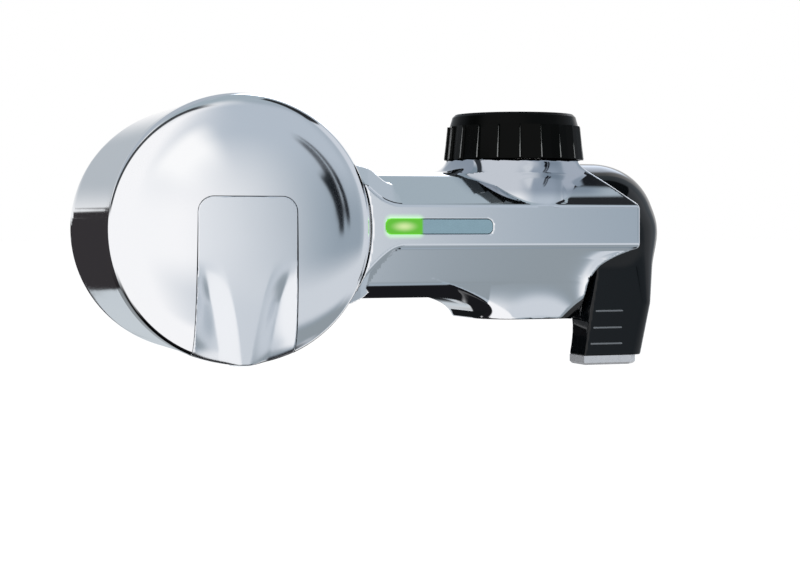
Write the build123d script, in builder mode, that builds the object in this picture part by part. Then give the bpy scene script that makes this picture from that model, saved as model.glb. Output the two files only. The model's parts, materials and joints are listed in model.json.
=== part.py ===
from build123d import *
from math import cos, radians, sin
import os

os.makedirs("parts", exist_ok=True)

# Faucet mount water filter. The origin is the centre of the mounting nut's mouth, +Z up,
# +X towards the diverter lever, -Y towards the person at the sink. Lengths are millimetres.

# Clearances
running_gap = 0.05
slip_gap = 0.15
seam_gap = 0.3
swing_gap = 0.5

# One horizontal line carries the drum centre, the bar and the lever
axis_z = -34.0

# Mounting nut
nut_height = 13.5
nut_band_height = 3.6
nut_top_radius = 18.4
nut_band_radius = 19.2
nut_skirt_top_radius = 19.9
nut_skirt_radius = 20.9
nut_rib_depth = 0.8
nut_rib_count = 20
thread_radius = 11.9
thread_length = 6.3
nut_clip_thickness = 1.2

# Inlet stem that the nut turns on
stem_radius = 13.2
stem_bore_radius = 7.5
stem_flange_radius = 15.8
stem_flange_thickness = 3.4
gasket_thickness = 2.0
screen_thickness = 0.6
screen_hole_radius = 0.6
valve_outlet_radius = 4.5
valve_feed_radius = 3.0
valve_left = -12.0
chamber_wall = 2.6

# Bar housing
bar_front = -22.2
bar_rear = 19.7
bar_top = 16.3
bar_bottom = -19.9
bar_wall = 2.2
bar_end_x = 15.5
band_top = 6.7
band_bottom = -4.9
band_end_x = 30.8
shoulder_rear = -10.0
cowl_radius = 21.5
cowl_start_x = 8.0
cowl_rear = -8.0
slant_foot_z = 7.2
slant_top_x = 17.5
slant_top_z = 17.5
crest_front = -11.5
lower_slope_y = -18.6
lower_slope_z = -16.5
collar_top_radius = 19.7
collar_foot_radius = 22.1
collar_height = 13.2
skirt_radius = 15.3
skirt_drop = 26.3
skirt_bore_radius = 12.8
aerator_wall = 2.2
aerator_disc_thickness = 1.5
aerator_hole_radius = 1.0
rear_cover_thickness = 3.0
cover_ledge = 5.6
shell_screw_radius = 1.5
screw_head_radius = 2.6
screw_head_height = 1.5
screw_margin = 4.0

# Indicator
window_width = 32.5
window_height = 4.3
window_margin = 4.4
window_center_z = -33.35
window_depth = 1.6
lamp_pitch = 11.2
lamp_width = 2.8
lamp_depth = 1.8
lamp_height = 1.0
guide_width = 6.8
guide_height = 3.2
board_margin = 3.25
board_height = 10.0
board_thickness = 1.2
coin_cell_x = -20.0
coin_cell_radius = 10.0
coin_cell_thickness = 3.2
tray_thickness = 1.4

# Drum
drum_x = -90.3
drum_radius = 37.0
drum_wall = 2.3
rim_y = -16.0
rim_gap = 0.8
dome_band = 4.6
dome_depth = 7.0
cup_step = 0.4
cup_taper = 0.4
cup_straight = 48.0
cup_length = 75.0
panel_width = 28.0
panel_top = 8.9
panel_corner = 4.4
panel_thickness = 3.0
scoop_radius = 12.0
nozzle_radius = 3.2
nozzle_bore_radius = 2.3
nozzle_reach = 0.3
nozzle_length = 6.0
head_neck_length = 11.0
head_wall = 1.2

# Filter cartridge
neck_radius = 7.2
neck_length = 9.0
neck_bore_radius = 4.0
neck_groove_places = (2.3, 5.4)
groove_half_width = 0.8
cartridge_inset = 5.0
cartridge_side_room = 2.8
cartridge_end_room = 10.3
cartridge_wall = 1.8
cartridge_cap_thickness = 2.4
cartridge_end_taper = 4.0
carbon_side_room = 1.5
carbon_end_room = 5.0
carbon_bore_radius = 9.0
sleeve_thickness = 2.2

# Diverter lever
hub_radius = 19.7
hub_center_x = 25.4
lever_inner_x = 16.2
lever_foot_x = 13.8
lever_foot_radius = 29.2
paddle_front = -18.9
paddle_back = -8.8
paddle_bottom = -37.2
paddle_right_top = 38.3
paddle_right_bottom = 33.1
tip_thickness = 2.7
grip_pitch = 4.7
grip_width = 9.4
grip_height = 0.7
grip_center_x = 21.4
spindle_radius = 6.0
spindle_length = 27.0
spindle_socket_depth = 5.0
spindle_port_radius = 3.4
seal_thickness = 1.4

# Flow turbine
turbine_radius = 5.2
turbine_height = 7.0
turbine_x = -27.0
turbine_y = -5.0
turbine_blade_count = 6
turbine_blade_thickness = 0.8
pin_radius = 0.8
duct_height = 13.0
duct_skin = 1.0
duct_wall = 1.6
duct_inset = 6.5
duct_arm_length = 4.9
duct_turn_run = 2.4


def drum_plane():
    """Profile plane through the drum axis: local x is the radius, local y runs to the rear."""
    return Plane(origin=(drum_x, 0, axis_z), x_dir=(1, 0, 0), z_dir=(0, 0, 1))


def lever_plane():
    """Profile plane through the lever axis: local x runs along it, local y is the radius."""
    return Plane(origin=(0, 0, axis_z), x_dir=(1, 0, 0), z_dir=(0, -1, 0))


def front_plane(y):
    """Upright plane at depth y, seen from the front, with its origin on the common axis."""
    return Plane(origin=(0, y, axis_z), x_dir=(1, 0, 0), z_dir=(0, -1, 0))


def end_plane(x):
    """Upright plane across the bar at x: local x runs to the rear, local y is up."""
    return Plane(origin=(x, 0, axis_z), x_dir=(0, 1, 0), z_dir=(1, 0, 0))


drum_axis = Axis((drum_x, 0, axis_z), (0, 1, 0))
lever_axis = Axis((0, 0, axis_z), (1, 0, 0))
rim_front = rim_y - rim_gap / 2
rim_rear = rim_y + rim_gap / 2
dome_front = rim_front - dome_band - dome_depth
drum_edge_x = drum_x + drum_radius
cup_radius = drum_radius - cup_step
cup_rear_radius = cup_radius - cup_taper
cup_end = rim_y + cup_length
nozzle_drop = drum_radius + nozzle_reach
nozzle_y = rim_front - nozzle_radius - seam_gap
window_center_x = drum_edge_x + window_margin + window_width / 2
duct_end_x = drum_edge_x - duct_inset
duct_turn_x = drum_edge_x + duct_arm_length
cartridge_radius = cup_radius - drum_wall - cartridge_side_room
carbon_radius = cartridge_radius - cartridge_wall - sleeve_thickness - carbon_side_room
nut_bore_radius = stem_flange_radius + 0.4
gasket_top = -thread_length - seam_gap
stem_top = gasket_top - gasket_thickness
collar_top = -nut_height - seam_gap
arm_front_y = bar_front + 2.0
arm_rear_y = rim_front - 0.2
valve_lower_radius = skirt_bore_radius - 0.8


def bar_section(inset):
    """Half of the bar's cross-section, drawn in full: flat band in front, slopes above and below."""
    chamfer = 1.1
    with BuildLine() as outline:
        Polyline(
            (bar_front + inset, band_top - inset / 2),
            (bar_front + inset, band_bottom + inset / 2),
            (bar_front + inset + chamfer / 3, band_bottom - chamfer + inset / 2),
            (lower_slope_y + inset, lower_slope_z + inset / 2),
            (crest_front - 1.5 + inset / 2, bar_bottom + inset),
            (bar_rear - 5 - inset / 2, bar_bottom + inset),
            (bar_rear - inset, bar_bottom + 5 + inset / 2),
            (bar_rear - inset, bar_top - 5 - inset / 2),
            (bar_rear - 5 - inset / 2, bar_top - inset),
            (crest_front + inset / 2, bar_top - inset),
            close=True,
        )
    return outline.line


# Front shell: the chrome housing with its collar, outlet skirt and the fascia over the lever
with BuildPart() as front_shell:
    with BuildSketch(end_plane(drum_edge_x - 10)):
        add(make_face(bar_section(0).edges(), mode=Mode.PRIVATE))
    extrude(amount=band_end_x - drum_edge_x + 10)
    # cowl that curves over the lever's hub
    with BuildSketch(end_plane(cowl_start_x)):
        Circle(cowl_radius)
        with Locations(((bar_front + cowl_rear) / 2, cowl_radius / 2 + 1)):
            Rectangle(cowl_rear - bar_front, cowl_radius - 2, mode=Mode.INTERSECT)
    extrude(amount=band_end_x - cowl_start_x)
    # the cowl is trimmed on the slant down to the band's right end
    with BuildSketch(front_plane(bar_front - 1)):
        with BuildLine():
            Polyline(
                (band_end_x, slant_foot_z),
                (slant_top_x, slant_top_z),
                (slant_top_x - 2, cowl_radius + 1),
                (band_end_x + 1, cowl_radius + 1),
                (band_end_x + 1, slant_foot_z),
                close=True,
            )
        make_face()
    extrude(amount=bar_front - 1 - cowl_rear, mode=Mode.SUBTRACT)
    # behind the shoulder the bar ends at the lever
    with BuildSketch(Plane.XY.offset(axis_z + bar_bottom - 1)):
        with BuildLine():
            Polyline(
                (band_end_x, bar_front - 1),
                (band_end_x, shoulder_rear),
                (bar_end_x, shoulder_rear),
                (bar_end_x, bar_rear + 1),
                (band_end_x + 9, bar_rear + 1),
                (band_end_x + 9, bar_front - 1),
                close=True,
            )
        make_face()
    extrude(amount=cowl_radius - bar_bottom + 2, mode=Mode.SUBTRACT)
    with BuildSketch(front_plane(bar_front - 1)):
        with BuildLine():
            lower_edge = Spline(
                (band_end_x + 0.1, band_bottom - 1.0),
                (bar_end_x + 8.9, band_bottom - 3.0),
                (bar_end_x + 1.9, band_bottom - 6.2),
                (bar_end_x - 0.5, lower_slope_z - 0.3),
                tangents=((-1, -0.12), (0, -1)),
            )
            Polyline(
                lower_edge @ 1,
                (bar_end_x - 0.5, bar_bottom - 2),
                (band_end_x + 0.1, bar_bottom - 2),
                lower_edge @ 0,
            )
        make_face()
    extrude(amount=bar_front - paddle_front - 2, mode=Mode.SUBTRACT)
    # the flared root of the band where it meets the drum
    for depth, spread in ((0, 0), (5.0, 4.6)):
        with BuildSketch(front_plane(bar_front + depth)):
            with BuildLine():
                flare_top = Spline(
                    (drum_edge_x + 9.8, band_top + spread),
                    (drum_edge_x + 3.3, band_top + 1.6 + spread),
                    (drum_edge_x - 2.2, band_top + 5.6 + spread),
                    tangents=((-1, 0), (-0.7, 1)),
                )
                flare_bottom = Spline(
                    (drum_edge_x - 4.2, band_bottom - 9.6 - spread),
                    (drum_edge_x + 2.8, band_bottom - 3.2 - spread),
                    (drum_edge_x + 10.3, band_bottom - spread),
                    tangents=((0.7, 1), (1, 0)),
                )
                Polyline(
                    flare_top @ 1,
                    (drum_edge_x - 6.7, band_top),
                    (drum_edge_x - 6.7, band_bottom),
                    flare_bottom @ 0,
                )
                Line(flare_bottom @ 1, flare_top @ 0)
            make_face()
    loft(ruled=True)
    # collar under the nut
    with BuildSketch(Plane.XZ):
        with BuildLine():
            collar_side = Spline(
                (collar_top_radius, collar_top),
                (collar_top_radius + 0.9, collar_top - collar_height * 0.5),
                (collar_foot_radius, collar_top - collar_height),
            )
            Polyline(collar_side @ 0, (0, collar_top), (0, collar_top - collar_height), collar_side @ 1)
        make_face()
    revolve(axis=Axis.Z)
    # outlet skirt, round at its mouth and nearly square where it leaves the bar
    with BuildSketch(Plane.XY.offset(axis_z - skirt_drop)):
        RectangleRounded(2 * skirt_radius, 2 * skirt_radius, skirt_radius - 0.05)
    with BuildSketch(Plane.XY.offset(axis_z + lower_slope_z)):
        with Locations((-2.6, -1.2)):
            RectangleRounded(35.0, 35.4, 7.0)
    with BuildSketch(Plane.XY.offset(axis_z + band_bottom - 5.6)):
        with Locations((-4.5, -2.1)):
            RectangleRounded(38.8, 37.4, 4.0)
    loft()
    # room for the lever hub and its paddle behind the fascia
    with BuildSketch(end_plane(bar_end_x)):
        Circle(hub_radius + swing_gap)
        with Locations(((paddle_front + bar_rear) / 2 - swing_gap / 2 + 0.4, bar_bottom - 2)):
            Rectangle(bar_rear - paddle_front + swing_gap + 0.8, 2 * (-bar_bottom + 2))
    extrude(amount=band_end_x, mode=Mode.SUBTRACT)
    # saddle that follows the drum
    with BuildSketch(front_plane(bar_front - 1)):
        with Locations((drum_x, 0)):
            Circle(drum_radius + seam_gap)
    extrude(amount=bar_front - bar_rear - 2, mode=Mode.SUBTRACT)
    # hollow inside, open at the back for the rear cover
    cover_opening = bar_top - bar_bottom - 2 * cover_ledge
    cavity_start = drum_edge_x + bar_wall + 0.6
    cavity_end = bar_end_x - bar_wall
    with BuildSketch(end_plane(cavity_start)):
        add(make_face(bar_section(bar_wall).edges(), mode=Mode.PRIVATE))
    extrude(amount=cavity_end - cavity_start, mode=Mode.SUBTRACT)
    with BuildSketch(Plane.XY.offset(collar_top)):
        Circle(stem_radius + seam_gap)
    extrude(amount=-collar_height, mode=Mode.SUBTRACT)
    with BuildSketch(Plane.XY.offset(axis_z - skirt_drop)):
        Circle(skirt_bore_radius)
    extrude(amount=skirt_drop + bar_bottom + bar_wall, mode=Mode.SUBTRACT)
    with BuildSketch(end_plane(cavity_start)):
        with Locations(((bar_rear - rear_cover_thickness / 2), (bar_top + bar_bottom) / 2)):
            Rectangle(rear_cover_thickness + 0.1, cover_opening)
    extrude(amount=cavity_end - cavity_start, mode=Mode.SUBTRACT)
    # slot for the water duct, window recess and spindle hole
    with BuildSketch(end_plane(duct_end_x)):
        with Locations(((arm_front_y + arm_rear_y) / 2, 0)):
            Rectangle(arm_rear_y - arm_front_y + slip_gap, duct_height + slip_gap)
    extrude(amount=duct_turn_x + duct_turn_run - duct_end_x, mode=Mode.SUBTRACT)
    with BuildSketch(front_plane(bar_front)):
        with Locations((window_center_x, window_center_z - axis_z)):
            RectangleRounded(window_width, window_height, 1.7)
    extrude(amount=-bar_wall - 0.1, mode=Mode.SUBTRACT)
    with BuildSketch(end_plane(cavity_end - 1)):
        Circle(spindle_radius + seam_gap)
    extrude(amount=bar_wall + 2, mode=Mode.SUBTRACT)

front_shell.part.label = "front_shell"
export_step(front_shell.part, "parts/front_shell.step")


# Rear cover: the plate that closes the bar from behind, with four counterbored screw holes
cover_length = cavity_end - cavity_start - 2 * slip_gap
cover_height = cover_opening - 2 * slip_gap
cover_center_x = (cavity_start + cavity_end) / 2
cover_center_z = axis_z + (bar_top + bar_bottom) / 2
cover_inner_y = bar_rear - rear_cover_thickness
screw_x = cover_length / 2 - screw_margin
screw_z = cover_height / 2 - screw_margin
screw_seat = screw_head_height + seam_gap


def cover_plane(y):
    """Upright plane at depth y, seen from behind, with its origin at the middle of the cover."""
    return Plane(origin=(cover_center_x, y, cover_center_z), x_dir=(1, 0, 0), z_dir=(0, 1, 0))


with BuildPart() as rear_cover:
    with BuildSketch(front_plane(bar_rear)):
        with Locations((cover_center_x, cover_center_z - axis_z)):
            RectangleRounded(cover_length, cover_height, 1.0)
    extrude(amount=rear_cover_thickness)
    with Locations(cover_plane(bar_rear)):
        with GridLocations(2 * screw_x, 2 * screw_z, 2, 2):
            CounterBoreHole(
                shell_screw_radius + slip_gap,
                screw_head_radius + seam_gap,
                screw_seat,
                depth=rear_cover_thickness,
            )
    fillet(rear_cover.faces().sort_by(Axis.Y)[-1].outer_wire().edges(), 0.5)
rear_cover.part.label = "rear_cover"
export_step(rear_cover.part, "parts/rear_cover.step")

# Shell screws, with pan heads down in the counterbores
with BuildPart() as shell_screws:
    with Locations(cover_plane(bar_rear - screw_seat)):
        with GridLocations(2 * screw_x, 2 * screw_z, 2, 2):
            Cylinder(screw_head_radius, screw_head_height, align=(Align.CENTER, Align.CENTER, Align.MIN))
            Cylinder(shell_screw_radius, rear_cover_thickness, align=(Align.CENTER, Align.CENTER, Align.MAX))
    with Locations(cover_plane(bar_rear - seam_gap)):
        with GridLocations(2 * screw_x, 2 * screw_z, 2, 2):
            Box(1.3 * screw_head_radius, 0.7, screw_head_height, mode=Mode.SUBTRACT)
            Box(0.7, 1.3 * screw_head_radius, screw_head_height, mode=Mode.SUBTRACT)
shell_screws.part.label = "shell_screws"
export_step(shell_screws.part, "parts/shell_screws.step")

# Valve body: inlet stem, cross bore for the spindle and outlet, in one moulding
chamber_radius = spindle_radius + chamber_wall
with BuildPart() as valve_body:
    with BuildSketch(Plane.XZ):
        with BuildLine():
            Polyline(
                (0, stem_top),
                (stem_radius - 1.2, stem_top),
                (stem_flange_radius, stem_top - 0.6),
                (stem_flange_radius, stem_top - stem_flange_thickness),
                (stem_radius, stem_top - stem_flange_thickness),
                (stem_radius, collar_top - collar_height + 3),
                (valve_lower_radius, collar_top - collar_height),
                (valve_lower_radius, axis_z + bar_bottom + bar_wall),
                (0, axis_z + bar_bottom + bar_wall),
                close=True,
            )
        make_face()
    revolve(axis=Axis.Z)
    with BuildSketch(end_plane(valve_left)):
        Circle(chamber_radius)
    extrude(amount=cavity_end - slip_gap - valve_left)
    with BuildSketch(end_plane(-spindle_radius - 1)):
        Circle(spindle_radius + running_gap)
    extrude(amount=cavity_end + spindle_radius + 2, mode=Mode.SUBTRACT)
    with Locations((0, 0, stem_top)):
        Hole(stem_bore_radius, depth=screen_thickness + 0.1)
        Hole(stem_bore_radius - 1.2, depth=stem_top - axis_z)
    with BuildSketch(Plane.XY.offset(axis_z)):
        Circle(valve_outlet_radius)
    extrude(amount=bar_bottom, mode=Mode.SUBTRACT)
    with BuildSketch(end_plane(valve_left - 1)):
        Circle(valve_feed_radius)
    extrude(amount=10, mode=Mode.SUBTRACT)
valve_body.part.label = "valve_body"
export_step(valve_body.part, "parts/valve_body.step")

# Inlet screen and gasket on top of the stem
with BuildPart() as inlet_screen:
    with BuildSketch(Plane.XY.offset(stem_top)):
        Circle(stem_bore_radius - slip_gap)
        Circle(screen_hole_radius, mode=Mode.SUBTRACT)
        for ring, count in ((2.1, 6), (4.0, 12), (5.7, 18)):
            with PolarLocations(ring, count):
                Circle(screen_hole_radius, mode=Mode.SUBTRACT)
    extrude(amount=-screen_thickness)
inlet_screen.part.label = "inlet_screen"
export_step(inlet_screen.part, "parts/inlet_screen.step")

with BuildPart() as inlet_gasket:
    with BuildSketch(Plane.XY.offset(stem_top)):
        Circle(thread_radius - 0.4)
        Circle(stem_bore_radius - 0.6, mode=Mode.SUBTRACT)
    extrude(amount=gasket_thickness)
inlet_gasket.part.label = "inlet_gasket"
export_step(inlet_gasket.part, "parts/inlet_gasket.step")


def sawtooth(radius):
    """Outline of the nut's grip: each rib rises slowly round the nut and drops back at its end."""
    pitch = 360 / nut_rib_count
    points = []
    for rib in range(nut_rib_count):
        start = rib * pitch
        for turn, rise in ((0, 0), (pitch * 0.5, nut_rib_depth * 0.35), (pitch * 0.93, nut_rib_depth)):
            angle = radians(start + turn)
            reach = radius - nut_rib_depth + rise
            points.append((reach * cos(angle), reach * sin(angle)))
    with BuildLine(mode=Mode.PRIVATE) as outline:
        Polyline(*points, close=True)
    return outline.line


# Mounting nut: plain band above, flared ribbed grip below, bored for the faucet's thread
with BuildPart() as mounting_nut:
    with BuildSketch(Plane.XZ):
        with BuildLine():
            Polyline(
                (0, 0),
                (nut_top_radius - 0.8, 0),
                (nut_top_radius, -0.8),
                (nut_band_radius, -nut_band_height),
                (nut_band_radius, -nut_height + 1),
                (0, -nut_height + 1),
                close=True,
            )
        make_face()
    revolve(axis=Axis.Z)
    for height, radius in ((-nut_band_height, nut_skirt_top_radius), (-nut_height, nut_skirt_radius)):
        with BuildSketch(Plane.XY.offset(height)):
            add(make_face(sawtooth(radius).edges(), mode=Mode.PRIVATE))
    loft(ruled=True)
    with BuildSketch(Plane.XY):
        Circle(thread_radius)
    extrude(amount=-nut_height, mode=Mode.SUBTRACT)
    with BuildSketch(Plane.XY.offset(-nut_height)):
        Circle(nut_bore_radius)
    extrude(amount=nut_height - thread_length, mode=Mode.SUBTRACT)
mounting_nut.part.label = "mounting_nut"
export_step(mounting_nut.part, "parts/mounting_nut.step")

# Split ring inside the nut that keeps it on the stem's flange
with BuildPart() as nut_clip:
    with BuildSketch(Plane.XY.offset(-nut_height + 0.1)):
        Circle(nut_bore_radius - running_gap)
        Circle(stem_radius + seam_gap, mode=Mode.SUBTRACT)
        with Locations((nut_bore_radius, 0)):
            Rectangle(2 * nut_bore_radius - 2 * stem_radius + 4, 2.0, mode=Mode.SUBTRACT)
    extrude(amount=nut_clip_thickness)
nut_clip.part.label = "nut_clip"
export_step(nut_clip.part, "parts/nut_clip.step")

# Aerator under the valve: a ring with a perforated disc
aerator_top = axis_z + bar_bottom + bar_wall - slip_gap
aerator_bottom = axis_z - skirt_drop + 0.5
with BuildPart() as aerator_body:
    with BuildSketch(Plane.XY.offset(aerator_bottom)):
        Circle(skirt_bore_radius - slip_gap)
        Circle(skirt_bore_radius - aerator_wall, mode=Mode.SUBTRACT)
    extrude(amount=aerator_top - aerator_bottom)
    with BuildSketch(Plane.XY.offset(aerator_top)):
        Circle(skirt_bore_radius - aerator_wall / 2)
        Circle(valve_outlet_radius - 0.5, mode=Mode.SUBTRACT)
    extrude(amount=-aerator_disc_thickness)
    fillet(aerator_body.edges().group_by(Axis.Z)[0], 0.5)
aerator_body.part.label = "aerator_body"
export_step(aerator_body.part, "parts/aerator_body.step")

with BuildPart() as aerator_screen:
    with BuildSketch(Plane.XY.offset(aerator_bottom + 1.2)):
        Circle(skirt_bore_radius - aerator_wall)
        RegularPolygon(aerator_hole_radius, 6, mode=Mode.SUBTRACT)
        for ring, count in ((2.6, 6), (5.1, 12), (7.6, 18)):
            with PolarLocations(ring, count):
                RegularPolygon(aerator_hole_radius, 6, mode=Mode.SUBTRACT)
    extrude(amount=aerator_disc_thickness)
aerator_screen.part.label = "aerator_screen"
export_step(aerator_screen.part, "parts/aerator_screen.step")

# Indicator: window, light guides, lamps and board behind the flat band
window_place = (window_center_x, window_center_z - axis_z)
with BuildPart() as indicator_window:
    with BuildSketch(front_plane(bar_front + window_depth)):
        with Locations(window_place):
            RectangleRounded(window_width - 2 * slip_gap, window_height - 2 * slip_gap, 1.6)
    extrude(amount=window_depth - 0.05)
indicator_window.part.label = "indicator_window"
export_step(indicator_window.part, "parts/indicator_window.step")

guide_back_y = bar_front + bar_wall + 1.2
board_front_y = guide_back_y + lamp_height
with BuildPart() as light_guides:
    with BuildSketch(front_plane(guide_back_y)):
        with Locations(window_place):
            with GridLocations(lamp_pitch, 1, 3, 1):
                RectangleRounded(guide_width, guide_height, 0.8)
    extrude(amount=guide_back_y - bar_front - window_depth)
light_guides.part.label = "light_guides"
export_step(light_guides.part, "parts/light_guides.step")

with BuildPart() as indicator_lamps:
    with BuildSketch(front_plane(board_front_y)):
        with Locations(window_place):
            with GridLocations(lamp_pitch, 1, 3, 1):
                Rectangle(lamp_width, lamp_depth)
    extrude(amount=lamp_height)
indicator_lamps.part.label = "indicator_lamps"
export_step(indicator_lamps.part, "parts/indicator_lamps.step")

with BuildPart() as circuit_board:
    with BuildSketch(front_plane(board_front_y + board_thickness)):
        with Locations(window_place):
            Rectangle(window_width - 2 * board_margin, board_height)
    extrude(amount=board_thickness)
circuit_board.part.label = "circuit_board"
export_step(circuit_board.part, "parts/circuit_board.step")

# Battery: two coin cells in a tray on the rear cover
tray_rim_height = 0.75 * coin_cell_thickness
with BuildPart() as battery_tray:
    with BuildSketch(front_plane(cover_inner_y)):
        with Locations((coin_cell_x, cover_center_z - axis_z)):
            Circle(coin_cell_radius + tray_thickness)
    extrude(amount=tray_thickness + tray_rim_height)
    with BuildSketch(front_plane(cover_inner_y - tray_thickness)):
        with Locations((coin_cell_x, cover_center_z - axis_z)):
            Circle(coin_cell_radius + slip_gap)
    extrude(amount=tray_rim_height + 0.1, mode=Mode.SUBTRACT)
battery_tray.part.label = "battery_tray"
export_step(battery_tray.part, "parts/battery_tray.step")

with BuildPart() as coin_cells:
    for stack in range(2):
        cell_back = cover_inner_y - tray_thickness - 0.02 - stack * (coin_cell_thickness + 0.02)
        with BuildSketch(front_plane(cell_back)):
            with Locations((coin_cell_x, cover_center_z - axis_z)):
                Circle(coin_cell_radius)
        extrude(amount=coin_cell_thickness)
coin_cells.part.label = "coin_cells"
export_step(coin_cells.part, "parts/coin_cells.step")

# Feed duct: flat water passage from the valve to the drum, with the turbine's round chamber
chamber_outer = turbine_radius + duct_wall + 1.0
duct_low_y = turbine_y - chamber_outer
duct_clear_height = duct_height - 2 * duct_skin


def duct_path(inset):
    """Plan of the duct, seen from above, drawn inside its outer wall by inset."""
    with BuildSketch(Plane.XY.offset(axis_z - duct_height / 2 + inset), mode=Mode.PRIVATE) as plan:
        with BuildLine():
            Polyline(
                (duct_end_x - inset, arm_front_y + inset),
                (duct_turn_x, arm_front_y + inset),
                (duct_turn_x + duct_turn_run + inset, board_front_y + board_thickness + 0.8 + inset),
                (turbine_x, duct_low_y + 2 + inset),
                (valve_left + inset / 2, duct_low_y + 3 + inset),
                (valve_left + inset / 2, -0.4 - inset),
                (turbine_x, 0.5 - inset),
                (duct_turn_x + 3.2, duct_low_y + 4.2 - inset),
                (duct_turn_x - 1.8, arm_rear_y - inset),
                (duct_end_x - inset, arm_rear_y - inset),
                close=True,
            )
        make_face()
        with Locations((turbine_x, turbine_y)):
            Circle(chamber_outer - inset)
    return plan.sketch


with BuildPart() as feed_duct:
    add(extrude(duct_path(0), amount=duct_height, mode=Mode.PRIVATE))
    add(extrude(duct_path(duct_skin), amount=duct_clear_height, mode=Mode.PRIVATE), mode=Mode.SUBTRACT)
    with Locations((turbine_x, turbine_y, axis_z)):
        Cylinder(turbine_radius + swing_gap, duct_clear_height, mode=Mode.SUBTRACT)
    with Locations((0, 0, axis_z)):
        Cylinder(valve_lower_radius + slip_gap, duct_height + 1, mode=Mode.SUBTRACT)
feed_duct.part.label = "feed_duct"
export_step(feed_duct.part, "parts/feed_duct.step")

# Flow turbine and its pin
with BuildPart() as turbine_pin:
    with Locations((turbine_x, turbine_y, axis_z)):
        Cylinder(pin_radius, duct_clear_height)
turbine_pin.part.label = "turbine_pin"
export_step(turbine_pin.part, "parts/turbine_pin.step")

with BuildPart() as flow_turbine:
    with Locations((turbine_x, turbine_y, axis_z)):
        Cylinder(pin_radius + 1.2, turbine_height)
        with PolarLocations(turbine_radius / 2 + 0.4, turbine_blade_count):
            Box(turbine_radius - 1.0, turbine_blade_thickness, turbine_height)
        Cylinder(pin_radius + running_gap, turbine_height, mode=Mode.SUBTRACT)
flow_turbine.part.label = "flow_turbine"
export_step(flow_turbine.part, "parts/flow_turbine.step")


def dome_profile(inset):
    """Bow of the front dome from its straight band to the centre, drawn inside by inset."""
    reach = drum_radius - inset
    nose = dome_front + inset
    return Bezier(
        (reach, rim_front - dome_band),
        (reach, nose + 2.6),
        (reach - 6.0, nose + 1.2),
        (reach - 23.0, nose),
        (0, nose),
    )


def dome_solid(inset):
    """Whole dome cap as one closed solid."""
    with BuildPart(mode=Mode.PRIVATE) as whole:
        with BuildSketch(drum_plane()):
            with BuildLine():
                bow = dome_profile(inset)
                Polyline(bow @ 1, (0, rim_front), (drum_radius - inset, rim_front), bow @ 0)
            make_face()
        revolve(axis=drum_axis)
    return whole.part


def panel_prism(clearance):
    """The spout panel's outline, run through the dome from front to back."""
    left = drum_x - panel_width / 2 + clearance
    right = drum_x + panel_width / 2 - clearance
    top = panel_top - clearance
    shoulder = top - panel_corner
    bottom = -drum_radius - 2
    splay = 0.6
    with BuildPart(mode=Mode.PRIVATE) as prism:
        with BuildSketch(front_plane(rim_front - 1.5)):
            with BuildLine():
                Line((left - splay, bottom), (left, shoulder))
                RadiusArc((left, shoulder), (left + panel_corner, top), panel_corner)
                Line((left + panel_corner, top), (right - panel_corner, top))
                RadiusArc((right - panel_corner, top), (right, shoulder), panel_corner)
                Line((right, shoulder), (right + splay, bottom))
                Line((right + splay, bottom), (left - splay, bottom))
            make_face()
        extrude(amount=dome_band + dome_depth + 3)
    return prism.part


def panel_solid(clearance, thickness):
    """The slice of the dome that the spout panel takes up."""
    with BuildPart(mode=Mode.PRIVATE) as blank:
        add(dome_solid(0))
        add(dome_solid(thickness), mode=Mode.SUBTRACT)
        add(panel_prism(clearance), mode=Mode.INTERSECT)
    return blank.part


# Front dome: the chrome cap, with a window for the spout panel and a side slot for the duct
with BuildPart() as front_dome:
    add(dome_solid(0))
    add(dome_solid(drum_wall), mode=Mode.SUBTRACT)
    add(panel_prism(0), mode=Mode.SUBTRACT)
    with BuildSketch(end_plane(duct_end_x - 5.5)):
        with Locations(((arm_front_y + arm_rear_y) / 2, 0)):
            Rectangle(arm_rear_y - arm_front_y + 2 * slip_gap, duct_height + 2 * slip_gap)
    extrude(amount=duct_inset + 8.5, mode=Mode.SUBTRACT)
    with BuildSketch(Plane.XY.offset(axis_z - nozzle_drop)):
        with Locations((drum_x, nozzle_y)):
            Circle(nozzle_radius + slip_gap)
    extrude(amount=nozzle_length + 0.1, mode=Mode.SUBTRACT)
front_dome.part.label = "front_dome"
export_step(front_dome.part, "parts/front_dome.step")

# Spout panel: flush in the dome, with two scoops that leave a ridge narrowing to the outlet
with BuildPart() as spout_panel:
    add(panel_solid(slip_gap, panel_thickness))
    for side in (-1, 1):
        scoop_plane = Plane(
            origin=(drum_x + side * (nozzle_radius + scoop_radius + 0.8), dome_front - scoop_radius + 6.2,
                    axis_z - drum_radius),
            x_dir=(1, 0, 0), z_dir=(side * 0.10, -0.30, 1),
        )
        with Locations(scoop_plane):
            Cylinder(scoop_radius, 60, mode=Mode.SUBTRACT)
    with BuildSketch(Plane.XY.offset(axis_z - nozzle_drop)):
        with Locations((drum_x, nozzle_y)):
            Circle(nozzle_radius + slip_gap)
    extrude(amount=nozzle_length + 0.1, mode=Mode.SUBTRACT)
spout_panel.part.label = "spout_panel"
export_step(spout_panel.part, "parts/spout_panel.step")

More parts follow.
